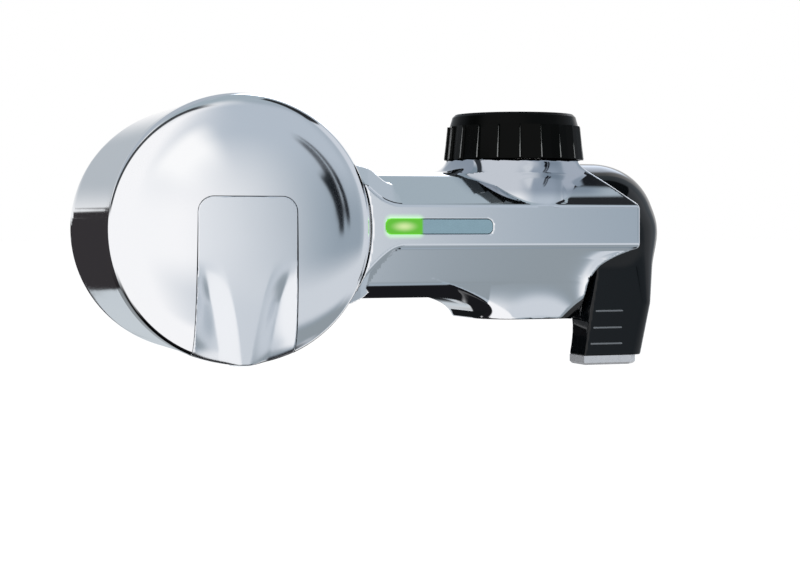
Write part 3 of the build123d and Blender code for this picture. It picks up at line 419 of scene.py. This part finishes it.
# Each plain look has its colour, its roughness and what else sets it apart
PLAIN_LOOKS = {
    "polished_chrome": ((0.94, 0.95, 0.97), 0.05, CHROME),
    "satin_chrome": ((0.80, 0.82, 0.85), 0.22, {"metallic": 1.0, "noise_scale": 60.0, "noise_depth": 0.02}),
    "panel_chrome": ((0.90, 0.92, 0.95), 0.26, CHROME),
    "screw_steel": ((0.60, 0.61, 0.62), 0.3, STEEL),
    "screen_steel": ((0.60, 0.61, 0.62), 0.35, STEEL),
    "cell_steel": ((0.70, 0.70, 0.70), 0.3, STEEL),
    "white_acetal": ((0.82, 0.82, 0.79), 0.45, {}),
    "white_shell": ((0.84, 0.85, 0.86), 0.3, {}),
    "black_rubber": ((0.02, 0.02, 0.02), 0.6, {}),
    "black_nut": ((0.0012, 0.0014, 0.0012), 0.22, {"ior": 1.15}),
    "black_lever": ((0.0015, 0.002, 0.0025), 0.06, {"ior": 1.42}),
    # painted highlight: light grey of the rods along the nut's rib edges
    "rib_painted_highlight": ((0.16, 0.165, 0.16), 0.3, {}),
    # partly painted highlight: the grip ridges are real, and their grey, paler than the lever, stands in
    # for their glints
    "grip_rib_painted_highlight": ((0.10, 0.11, 0.12), 0.2, {"ior": 1.4}),
    "grey_plastic": ((0.32, 0.33, 0.35), 0.45, {}),
    "dark_plastic": ((0.008, 0.008, 0.01), 0.5, {"specular": 0.2}),
    "blue_plastic": ((0.05, 0.16, 0.42), 0.4, {}),
    "clear_guide": ((0.75, 0.82, 0.82), 0.2, {}),
    "lamp_green": ((0.2, 0.8, 0.1), 0.3, {}),
    "board_green": ((0.02, 0.18, 0.06), 0.4, {}),
    "nozzle_clear": ((0.75, 0.79, 0.83), 0.3, {}),
    "carbon": ((0.012, 0.012, 0.012), 0.8, {"bump": 0.5}),
    "sleeve_fleece": ((0.8, 0.81, 0.81), 0.9, {"bump": 0.4}),
    "tip_silver": ((0.50, 0.51, 0.53), 0.28, {"metallic": 0.5}),
}
looks = {name: plain(name, color, rough, **rest)[0] for name, (color, rough, rest) in PLAIN_LOOKS.items()}

# Dome: chrome, with painted shade on its rim low down, standing in for the dark gap to the cup
RIM_START, RIM_END = 0.0364, 0.0367
material, tree, shader = plain("dome_chrome", (0.95, 0.955, 0.97), 0.07, **CHROME)
place_x, _, place_z = place_of(tree, "Object")
rim = length_of(tree, math_node(tree, "SUBTRACT", place_x, DRUM_X * MM),
                math_node(tree, "SUBTRACT", place_z, AXIS_Z * MM))
# painted shade: the rim's chrome turns near black low down, where the gap to the cup lies in shade
painted_rim_shade = math_node(tree, "MULTIPLY", smooth_step(tree, rim, RIM_START, RIM_END),
                     smooth_step(tree, place_z, -0.044, -0.052))
tint(tree, shader, painted_rim_shade, (0.012, 0.012, 0.014, 1))
looks["dome_chrome"] = material

# Window: its left third glows green, with a pale core
CORE_X, CORE_HALF_X = 0.165, 0.16
material, tree, shader = plain("window_smoke", (0.16, 0.245, 0.29), 0.12)
place_x, _, place_z = place_of(tree, "Generated")
lit = smooth_step(tree, place_x, 0.35, 0.325)
core_x = math_node(tree, "MULTIPLY", math_node(tree, "SUBTRACT", place_x, CORE_X), 1 / CORE_HALF_X)
core_z = math_node(tree, "MULTIPLY", math_node(tree, "SUBTRACT", place_z, 0.5), 2.0)
core = smooth_step(tree, length_of(tree, core_x, core_z), 0.95, 0.0)
lamp_color = mix_color(tree, core, (0.10, 0.50, 0.015, 1), (0.70, 0.85, 0.40, 1))
tint(tree, shader, lit, (0.02, 0.06, 0.01, 1))
tree.links.new(mix_color(tree, lit, (0, 0, 0, 1), lamp_color), shader.inputs["Emission Color"])
shader.inputs["Emission Strength"].default_value = 0.85
looks["window_smoke"] = material

# Housing: chrome, with a painted dark reflection on the collar and a painted green glow round the window's
# lit third
LIT_X, LIT_HALF_X = -0.0433, 0.0040
LIT_Z, LIT_HALF_Z = -0.03335, 0.0012
COLLAR_PAINTED_REFLECTION = 0.9
material, tree, shader = plain("housing_chrome", (0.94, 0.95, 0.97), 0.05, **CHROME)
place_x, place_y, place_z = place_of(tree, "Object")
gap = length_of(tree, outside(tree, place_x, LIT_X, LIT_HALF_X), outside(tree, place_z, LIT_Z, LIT_HALF_Z))
# painted glow: green emission on the chrome round the window's lit third, standing in for light spilt from
# it
window_painted_glow = math_node(tree, "MULTIPLY", smooth_step(tree, gap, 0.0027, 0.0010),
                 smooth_step(tree, place_y, -0.0200, -0.0215))
tree.links.new(mix_color(tree, window_painted_glow, (0, 0, 0, 1), (0.22, 0.72, 0.08, 1)), shader.inputs["Emission Color"])
shader.inputs["Emission Strength"].default_value = 0.55
# painted reflection: the collar's chrome is tinted darker, standing in for the faucet that it mirrors
painted_collar_reflection = math_node(tree, "MULTIPLY", smooth_step(tree, place_z, -0.0260, -0.0225),
                        smooth_step(tree, length_of(tree, place_x, place_y), 0.0300, 0.0235))
tint(tree, shader, math_node(tree, "MULTIPLY", painted_collar_reflection, COLLAR_PAINTED_REFLECTION), (0.50, 0.54, 0.60, 1))
looks["housing_chrome"] = material

SHARP_ANGLE = radians(32)
for subpart in frame["record"]["subparts"]:
    node = nodes[subpart["node"]]
    node.data.materials.clear()
    node.data.materials.append(looks[subpart["material_slot"]])
    for polygon in node.data.polygons:
        polygon.use_smooth = True
    node.data.set_sharp_from_angle(angle=SHARP_ANGLE)

# Smooth shapes from distance fields
# A field is a function of x, y, z in millimetres, with z measured from the bar's axis. It is
# negative inside the shape. Soft maximum and minimum give every edge and root its own radius.


def soft_max(first, second, width):
    """Intersection of two fields, with its edge rounded over about width."""
    near = np.maximum(width - np.abs(first - second), 0) / width
    return np.maximum(first, second) + near * near * width / 4


def soft_min(first, second, width):
    """Union of two fields, with its root filled over about width."""
    return -soft_max(-first, -second, width)


def half_plane(a, b, start, end):
    """Distance in front of the line from start to end, for an outline that runs anticlockwise."""
    run, rise = end[0] - start[0], end[1] - start[1]
    length = hypot(run, rise)
    return ((a - start[0]) * rise - (b - start[1]) * run) / length


def box_2d(a, b, center, half, corner):
    """Rectangle with round corners."""
    da = np.abs(a - center[0]) - half[0] + corner
    db = np.abs(b - center[1]) - half[1] + corner
    return np.hypot(np.maximum(da, 0), np.maximum(db, 0)) + np.minimum(np.maximum(da, db), 0) - corner


def polygon_2d(a, b, points):
    """Signed distance to a closed polygon."""
    best = np.full(a.shape, 1e9)
    sign = np.ones(a.shape)
    for index, (a1, b1) in enumerate(points):
        a0, b0 = points[index - 1]
        ea, eb = a1 - a0, b1 - b0
        wa, wb = a - a0, b - b0
        share = np.clip((wa * ea + wb * eb) / (ea * ea + eb * eb), 0, 1)
        best = np.minimum(best, (wa - ea * share) ** 2 + (wb - eb * share) ** 2)
        above, below = b >= b0, b < b1
        turn = ea * wb > eb * wa
        flip = (above & below & turn) | (~above & ~below & ~turn)
        sign = np.where(flip, -sign, sign)
    return sign * np.sqrt(best)


def curve_points(points, count):
    """Smooth curve through the points (Catmull-Rom), as count steps for each span."""
    ends = [points[0]] + list(points) + [points[-1]]
    smooth = []
    for p0, p1, p2, p3 in zip(ends, ends[1:], ends[2:], ends[3:]):
        for step in range(count):
            t = step / count
            smooth.append(tuple(
                0.5 * (2 * b + (c - a) * t + (2 * a - 5 * b + 4 * c - d) * t * t
                       + (3 * b - a - 3 * c + d) * t ** 3)
                for a, b, c, d in zip(p0, p1, p2, p3)))
    smooth.append(points[-1])
    return smooth


def slope_of(field, x, y, z, reach=0.02):
    """Gradient of a field."""
    return np.stack([
        field(x + reach, y, z) - field(x - reach, y, z),
        field(x, y + reach, z) - field(x, y - reach, z),
        field(x, y, z + reach) - field(x, y, z - reach),
    ], axis=-1) / (2 * reach)


def field_mesh(name, field, low, high, step):
    """Mesh of a field's surface, by surface nets, drawn onto the surface and shaded by its gradient."""
    axes = [np.arange(a, b + step, step) for a, b in zip(low, high)]
    values = field(*np.meshgrid(*axes, indexing="ij"))
    inside = values < 0
    cells = tuple(n - 1 for n in values.shape)

    def corner(array, shift):
        return array[tuple(slice(s, s + c) for s, c in zip(shift, cells))]

    corners = [(i, j, k) for i in (0, 1) for j in (0, 1) for k in (0, 1)]
    count = sum(corner(inside, c).astype(int) for c in corners)
    active = (count > 0) & (count < 8)
    total = np.zeros(cells + (3,))
    hits = np.zeros(cells)
    for start in corners:
        for axis in range(3):
            if start[axis]:
                continue
            end = tuple(s + (axis == n) for n, s in enumerate(start))
            va, vb = corner(values, start), corner(values, end)
            cross = (va < 0) != (vb < 0)
            share = np.where(cross, va / np.where(cross, va - vb, 1), 0)
            for n in range(3):
                total[..., n] += np.where(cross, start[n] + (share if n == axis else 0), 0)
            hits += cross
    where = np.nonzero(active)
    points = total[where] / hits[where][:, None] + np.stack(where, axis=-1)
    points = points * step + np.array(low)
    index = np.full(cells, -1)
    index[where] = np.arange(len(points))
    for _ in range(4):
        x, y, z = points.T
        slope = slope_of(field, x, y, z)
        move = field(x, y, z) / np.maximum((slope ** 2).sum(axis=1), 0.05)
        points -= np.clip(move, -0.3 * step, 0.3 * step)[:, None] * slope
    normals = slope_of(field, *points.T)
    normals /= np.maximum(np.linalg.norm(normals, axis=1), 1e-9)[:, None]

    quads = []
    for axis in range(3):
        first, second = (axis + 1) % 3, (axis + 2) % 3
        lower = tuple(slice(0, -1) if n == axis else slice(1, -1) for n in range(3))
        upper = tuple(slice(1, None) if n == axis else slice(1, -1) for n in range(3))
        cross = inside[lower] != inside[upper]
        spots = np.stack(np.nonzero(cross), axis=-1)
        outward = inside[lower][cross]
        spots[:, first] += 1
        spots[:, second] += 1
        ring = []
        for da, db in ((1, 1), (0, 1), (0, 0), (1, 0)):
            place = spots.copy()
            place[:, first] -= da
            place[:, second] -= db
            ring.append(index[tuple(place.T)])
        quad = np.stack(ring, axis=-1)
        quad[~outward] = quad[~outward][:, ::-1]
        quads.append(quad)
    quads = np.concatenate(quads)
    points[:, 2] += AXIS_Z
    mesh = bpy.data.meshes.new(name)
    mesh.from_pydata((points * MM).tolist(), [], quads.tolist())
    mesh.polygons.foreach_set("use_smooth", [True] * len(mesh.polygons))
    mesh.normals_split_custom_set_from_vertices(normals.tolist())
    piece = bpy.data.objects.new(name, mesh)
    scene.collection.objects.link(piece)
    return piece


# Chrome housing

BAR_FRONT, BAND_TOP, BAND_BOTTOM = -22.2, 6.7, -4.9
BAR_TOP, BAR_BOTTOM, BAR_REAR = 16.3, -19.9, 19.7
BEVEL_TOP, BEVEL_BOTTOM = 31.4, 34.9
SLOPE_END = (-18.5, -16.5)
BAND_END, PLATE_REAR = 30.8, -19.0
FASCIA_END_Z, FASCIA_REAR = -5.6, -15.0
FLARE_SLOPE, FLARE_REAR = 0.88, -15.0
COLLAR_RADIUS, COLLAR_TOP, COLLAR_DROP = 19.7, 20.2, 13.2
COLLAR_HOLE, HOLE_BOTTOM = 13.5, 10.0
SKIRT_BOTTOM, SKIRT_RISE, SKIRT_TOP = -26.3, 12.3, -14.0
SKIRT_LEFT, SKIRT_RIGHT, SKIRT_FRONT = 16.0, 14.8, 17.0
SKIRT_BORE, BORE_TOP = 12.8, -17.7
COWL_RADIUS, COWL_START = 21.5, 8.0
COWL_REAR, COWL_BOTTOM = -8.0, 2.0
# The slant runs through this height at the band's end, with this rise, run and length
SLANT_HEIGHT, SLANT_RISE, SLANT_RUN, SLANT_LENGTH = 7.2, 10.5, 13.3, 16.95
HUB_CUT, LEVER_START, PADDLE_SLOT = 20.2, 15.5, -19.4
DRUM_ROOM, HOUSING_LEFT = 37.3, -60.0
# Middle, half size and corner radius of two recesses seen from the front, and where they end in depth
COVER_RECESS, COVER_FRONT = ((-18.5, -1.8), (32.0, 12.5), 1.0), 16.7
WINDOW_RECESS, WINDOW_REAR = ((-32.65, 0.65), (16.25, 2.15), 1.7), -20.6


def bar_field(y, z):
    """Cross-section of the bar: flat band, soft crest above, slope below."""
    front = BAR_FRONT - y
    upper = half_plane(y, z, (-11.5, BAR_TOP), (BAR_FRONT, BAND_TOP))
    lip = half_plane(y, z, (BAR_FRONT, BAND_BOTTOM), (BAR_FRONT + 0.75, BAND_BOTTOM - 1.15))
    lower = half_plane(y, z, (BAR_FRONT + 0.55, BAND_BOTTOM - 1.0), SLOPE_END)
    under = half_plane(y, z, SLOPE_END, (-12.5, BAR_BOTTOM))
    top = soft_max(upper, z - BAR_TOP, 1.6)
    bottom = soft_max(soft_max(lower, under, 1.2), BAR_BOTTOM - z, 2.5)
    bevels = soft_max((y + z - BEVEL_TOP) * 0.7071, (y - z - BEVEL_BOTTOM) * 0.7071, 2.0)
    rear = soft_max(y - BAR_REAR, bevels, 1.5)
    core = soft_max(np.maximum(soft_max(front + 0.5, top, 0.5), bottom), rear, 2.0)
    plate = soft_max(soft_max(soft_max(front, lip, 0.5), upper, 0.6), y - PLATE_REAR, 0.5)
    return np.minimum(core, plate)


# Outlines: the lever's room from above, the fascia's lower edge and the flare at the drum from the front
plan_cut = [
    (BAND_END, -24.0), (BAND_END, -10.0), (LEVER_START, -10.0),
    (LEVER_START, COWL_RADIUS), (60, COWL_RADIUS), (60, -24),
]
fascia_edge = curve_points([
    (31.2, FASCIA_END_Z), (24.6, -7.7), (19.4, -10.2), (16.6, -13.2), (15.2, -17.0), (15.0, -23.0)], 8)
fascia_cut = fascia_edge + [(15.0, -40), (70, -40), (70, FASCIA_END_Z)]
flare_outline = (
    curve_points([(-40.0, BAND_TOP - 0.5), (-44.0, BAND_TOP), (-46.8, BAND_TOP + 0.5),
                  (-50.2, BAND_TOP + 2.0), (-54.0, BAND_TOP + 5.0)], 6)
    + [(-62, BAND_TOP + 7), (-62, BAND_BOTTOM - 12)]
    + curve_points([(-56.5, BAND_BOTTOM - 9.6), (-51.4, BAND_BOTTOM - 4.4), (-47.0, BAND_BOTTOM - 1.1),
                    (-43.0, BAND_BOTTOM + 0.1), (-40.0, BAND_BOTTOM + 0.6)], 6)
)


def skirt_field(x, y, z):
    """Outlet skirt: wide and square above, narrower and rounder below."""
    height = np.clip(z - SKIRT_BOTTOM, 0, SKIRT_RISE)
    rise = height / SKIRT_RISE
    left, right = SKIRT_LEFT + 20.0 * rise ** 1.9, SKIRT_RIGHT + 7.0 * rise
    front = SKIRT_FRONT + 0.0374 * height ** 1.631
    center, half = ((right - left) / 2, 0), ((right + left) / 2, front)
    crown = np.where(y < 0, 0.007 * (1 - rise) ** 1.5 * np.minimum(x * x, 240), 0)
    skirt = box_2d(x, y - crown, center, half, 3.0 + 6.5 * (1 - rise) ** 1.5)
    skirt = skirt / (1 + 1.6 * rise * np.clip(-x / SKIRT_LEFT, 0, 1))
    skirt = soft_max(skirt, SKIRT_BOTTOM - z, 0.5)
    return np.maximum(skirt, z - SKIRT_TOP)


def collar_field(across, z):
    """Bell-shaped collar under the nut."""
    drop = np.clip((COLLAR_TOP - z) / COLLAR_DROP, 0, 1.25)
    collar = (across - COLLAR_RADIUS - 0.5 * drop - 1.8 * drop ** 3) * 0.95
    return soft_max(soft_max(collar, z - COLLAR_TOP, 0.8), -z, 2.0)


def cowl_field(x, y, z):
    """Cowl over the top of the lever's hub."""
    cowl = soft_max(np.hypot(y, z) - COWL_RADIUS, np.maximum(x - BAND_END, COWL_START - x), 0.8)
    return soft_max(cowl, np.maximum(y - COWL_REAR, COWL_BOTTOM - z), 0.8)


def housing_field(x, y, z):
    """The chrome housing, closed inside."""
    across = np.hypot(x, y)
    bar = bar_field(y, z)
    # flare at the drum: a flat plateau with sloping sides
    plateau = polygon_2d(x, z, flare_outline)
    flare = soft_max(BAR_FRONT - y, (plateau - (y - BAR_FRONT) * FLARE_SLOPE) * 0.75, 0.6)
    flare = soft_max(flare, y - FLARE_REAR, 1.0)
    body = np.minimum(bar, flare)
    body = soft_min(body, skirt_field(x, y, z), 0.15 + 4.0 * np.clip((y + 16.5) / 6.0, 0, 1))
    # the slope turns outwards again along the fascia's lower edge
    edge = polygon_2d(x, z, fascia_cut)
    turned = np.clip((BAND_BOTTOM - 1.6 - z) / 2.5, 0, 1) * np.clip((-9.0 - y) / 3.0, 0, 1)
    body = body - 0.9 * turned * np.exp(-np.maximum(edge, 0) / 2.2)
    body = soft_min(body, collar_field(across, z), 0.3 + 7.0 * np.clip((z - 12.5) / 3.5, 0, 1))
    body = np.maximum(body, BAR_FRONT - y)
    # the cowl is trimmed on the slant down to the band's end
    body = soft_min(body, cowl_field(x, y, z), 1.5)
    slant = ((x - BAND_END) * SLANT_RISE + (z - SLANT_HEIGHT) * SLANT_RUN) / SLANT_LENGTH
    body = soft_max(body, np.minimum(slant, x - 15.0), 0.8)
    body = np.maximum(body, BAR_FRONT - y)
    # right end: the lever's room and the lower edge of the fascia
    body = soft_max(body, -polygon_2d(x, y, plan_cut), 1.0)
    below_edge = soft_max(edge, y - FASCIA_REAR, 0.6)
    body = soft_max(body, -below_edge, 0.9)
    hub_room = np.hypot(y, z) - HUB_CUT
    paddle_room = np.maximum(PADDLE_SLOT - y, z)
    room = np.maximum(np.minimum(hub_room, paddle_room), LEVER_START - x)
    body = soft_max(body, -room, 0.6)
    # saddle against the drum
    body = soft_max(body, DRUM_ROOM - np.hypot(x - DRUM_X, z), 0.4)
    body = np.maximum(body, HOUSING_LEFT - x)
    # skirt bore, collar hole, cover recess and window recess
    bore = np.maximum(across - SKIRT_BORE, z - BORE_TOP)
    body = soft_max(body, -bore, 0.5)
    hole = np.maximum(across - COLLAR_HOLE, HOLE_BOTTOM - z)
    body = soft_max(body, -hole, 0.4)
    recess = np.maximum(box_2d(x, z, *COVER_RECESS), COVER_FRONT - y)
    body = soft_max(body, -recess, 0.3)
    slot = np.maximum(box_2d(x, z, *WINDOW_RECESS), y - WINDOW_REAR)
    return soft_max(body, -slot, 0.25)


housing = field_mesh("housing_shell", housing_field, (-61.0, -23.0, -27.3), (32.5, 20.7, 21.2), 0.5)
housing.data.materials.append(looks["housing_chrome"])
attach(housing, "housing")
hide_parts("front_shell")

# Diverter lever

HUB_RADIUS, HUB_CENTER, HUB_START, HUB_POWER = 19.7, 24.6, 16.2, 2.2
SOCKET_RADIUS, SOCKET_END = 6.0, 21.2
PADDLE_FRONT, PADDLE_BOTTOM, PADDLE_TOP = -18.9, -37.2, 5.0
PADDLE_INNER, INNER_LEAN = 13.9, 0.171
PADDLE_BACK, BACK_LEAN, BACK_RISE = -8.8, 19.6, 20.8
BACK_TOP = -16.4


def lever_field(x, y, z):
    """Round hub with the paddle growing out of its front, in one smooth black moulding."""
    radius = np.hypot(y, z)
    beyond = np.maximum(x - HUB_CENTER, 0)
    hub = (beyond ** HUB_POWER + radius ** HUB_POWER) ** (1 / HUB_POWER) - HUB_RADIUS
    hub = soft_max(hub, HUB_START - x, 0.6)
    side = half_plane(x, z, (33.9, PADDLE_BOTTOM), (40.4, -8.0))
    inner = PADDLE_INNER + INNER_LEAN * np.clip(z - PADDLE_BOTTOM, 0, 24) - x
    lift = np.clip((z - PADDLE_BOTTOM) / BACK_RISE, 0, 1.6)
    back = (y - PADDLE_BACK - BACK_LEAN * lift ** 3.2) * 0.72
    paddle = soft_max(PADDLE_FRONT - y, side, 4.5 + 9.0 * np.clip((z + 22.0) / 20.0, 0, 1))
    paddle = soft_max(paddle, back, 1.2)
    paddle = soft_max(paddle, inner, 0.7)
    paddle = soft_max(soft_max(paddle, PADDLE_BOTTOM - z, 0.3), z - PADDLE_TOP, 9.0)
    # behind the axis the paddle stays within the hub, so that it clears the nut when it swings
    paddle = np.maximum(paddle, np.minimum(np.minimum(y, z - BACK_TOP), radius - HUB_RADIUS))
    shape = soft_max(soft_min(hub, paddle, 3.0), np.minimum(inner, HUB_START - x), 0.5)
    socket = np.maximum(radius - SOCKET_RADIUS, x - SOCKET_END)
    return np.maximum(shape, -socket)


lever = field_mesh("lever_shell", lever_field, (13.0, -20.6, -38.0), (46.0, 20.6, 20.6), 0.5)
lever.data.materials.append(looks["black_lever"])
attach(lever, "lever")
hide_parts("diverter_lever")


RIDGE_RADIUS, RIDGE_STEP = 0.28, 0.12
# Height, start and end of each ridge
GRIP_RIDGES = ((-24.1, 18.0, 26.4), (-29.0, 17.2, 26.0), (-33.7, 16.3, 26.1))


def grip_ridge(height, start, end):
    """A slim raised rib across the paddle's front, round at both ends."""
    middle_x, half = (start + end) / 2, (end - start) / 2

    def field(x, y, z):
        across = np.maximum(np.abs(x - middle_x) - half, 0)
        return np.sqrt(across ** 2 + ((y - PADDLE_FRONT) * 0.8) ** 2 + (z - height) ** 2) - RIDGE_RADIUS
    return field_mesh("grip_ridge_%d" % round(-height), field,
                      (start - 0.5, -19.6, height - 0.5), (end + 0.5, -18.3, height + 0.5), RIDGE_STEP)


for height, start, end in GRIP_RIDGES:
    ridge = grip_ridge(height, start, end)
    # the ridges are real; their paler grey than the lever is a painted highlight
    ridge.data.materials.append(looks["grip_rib_painted_highlight"])
    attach(ridge, "lever")

# Spout panel
# The dome's bow is a fourth-degree Bezier curve, given as radius and depth.

BOW_RADII = (37.0, 37.0, 31.0, 14.0, 0.0)
BOW_DEPTHS = (-21.0, -25.4, -26.8, -28.0, -28.0)
PANEL_MIDDLE, PANEL_HALF_WIDTH, PANEL_HALF_HEIGHT, PANEL_CORNER = -19.1, 13.88, 27.88, 4.3
PANEL_REAR = -20.5
HOLLOW_TOP, HOLLOW_FALL, HOLLOW_DEPTH = -7.0, 30.0, 2.4
RIDGE_FRONT, RIDGE_DROP, RIDGE_HALF = -27.9, 2.6, 9.6
bow_steps = np.linspace(0, 1, 200)[::-1]


def along_bow(controls):
    """Values of the bow's Bezier curve at bow_steps."""
    return sum(
        share * (1 - bow_steps) ** (4 - power) * bow_steps ** power * control
        for power, (share, control) in enumerate(zip((1, 4, 6, 4, 1), controls))
    )


bow, bow_depth = along_bow(BOW_RADII), along_bow(BOW_DEPTHS)


def panel_field(x, y, z):
    """Panel flush with the dome, hollowed on both sides of a ridge that narrows to the outlet."""
    across = x - DRUM_X
    radius = np.hypot(across, z)
    dome_y = np.interp(radius, bow, bow_depth)
    fall = np.clip((HOLLOW_TOP - z) / HOLLOW_FALL, 0, 1)
    ridge_y = RIDGE_FRONT + RIDGE_DROP * fall ** 2
    half = RIDGE_HALF - 10.1 * fall + 3.5 * fall ** 2
    flank = np.clip((np.abs(across) - half + 2.0) / 6.0, 0, 1)
    flank = flank * flank * (3 - 2 * flank)
    to_edge = np.clip((np.abs(across) - half - 3.0) / (10.9 - half), 0, 1)
    hollow_y = dome_y + HOLLOW_DEPTH * np.sin(pi * np.minimum(fall, 0.97)) * (1 - to_edge ** 2)
    ease = np.clip(fall * 2.2, 0, 1)
    front = dome_y + (ridge_y + (hollow_y - ridge_y) * flank - dome_y) * ease * ease * (3 - 2 * ease)
    half_size = (PANEL_HALF_WIDTH + 0.6 * fall, PANEL_HALF_HEIGHT)
    outline = box_2d(across, z, (0.0, PANEL_MIDDLE), half_size, PANEL_CORNER)
    field = soft_max((front - y) * 0.8, outline, 0.15)
    field = soft_max(field, radius - DRUM_RADIUS + 0.02, 0.5)
    return np.maximum(field, y - PANEL_REAR)


panel = field_mesh("spout_panel_shell", panel_field, (-105.2, -28.6, -37.6), (-75.4, -20.0, 9.4), 0.4)
panel.data.materials.append(looks["panel_chrome"])
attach(panel, "housing")
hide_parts("spout_panel")

# Painted highlights on the nut's ribs: thin light rods along the rib edges, standing in for their glints
# Each is a thin rod from high on the nut to low on it, given as radius, height and thickness.

RIB_COUNT, RIB_SHIFT, ROD_SIDES = 20, 0.93, 8
ROD_ENDS = ((19.75, -4.1, 0.10), (20.80, -13.2, 0.16))
rib_points, rib_faces = [], []
for rib in range(RIB_COUNT):
    angle = radians(360 / RIB_COUNT * (rib + RIB_SHIFT))
    for radius, height, thick in ROD_ENDS:
        for turn in range(ROD_SIDES):
            spin = 2 * pi * turn / ROD_SIDES
            out = radius + thick * cos(spin)
            side = thick * sin(spin)
            x = out * cos(angle) - side * sin(angle)
            y = out * sin(angle) + side * cos(angle)
            rib_points.append((x * MM, y * MM, height * MM))
    base = 2 * ROD_SIDES * rib
    for turn in range(ROD_SIDES):
        after = (turn + 1) % ROD_SIDES
        rib_faces.append((base + turn, base + ROD_SIDES + turn, base + ROD_SIDES + after, base + after))
    rib_faces.append(tuple(base + turn for turn in range(ROD_SIDES)))
    rib_faces.append(tuple(base + 2 * ROD_SIDES - 1 - turn for turn in range(ROD_SIDES)))
rib_data = bpy.data.meshes.new("nut_rib_painted_highlights")
rib_data.from_pydata(rib_points, [], rib_faces)
nut_rib_highlights = bpy.data.objects.new("nut_rib_painted_highlights", rib_data)
scene.collection.objects.link(nut_rib_highlights)
rib_data.materials.append(looks["rib_painted_highlight"])
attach(nut_rib_highlights, "nut")

# Black flag between drum and skirt, seen by gloss only
FLAG_X = -0.044
FLAG_FRONT, FLAG_REAR = 0.014, 0.25
FLAG_TOP, FLAG_BOTTOM = -0.053, -0.15
flag_data = bpy.data.meshes.new("black_flag")
flag_data.from_pydata(
    [(FLAG_X, FLAG_FRONT, FLAG_TOP), (FLAG_X, FLAG_REAR, FLAG_TOP),
     (FLAG_X, FLAG_REAR, FLAG_BOTTOM), (FLAG_X, FLAG_FRONT, FLAG_BOTTOM)],
    [], [(0, 1, 2, 3)])
flag = bpy.data.objects.new("black_flag", flag_data)
scene.collection.objects.link(flag)
gloss_only(flag)
material, tree, output = new_tree("black_flag")
dark = add_node(tree, "ShaderNodeEmission", inputs={"Color": (0.008, 0.009, 0.01, 1)})
tree.links.new(dark.outputs[0], output.inputs[0])
flag_data.materials.append(material)
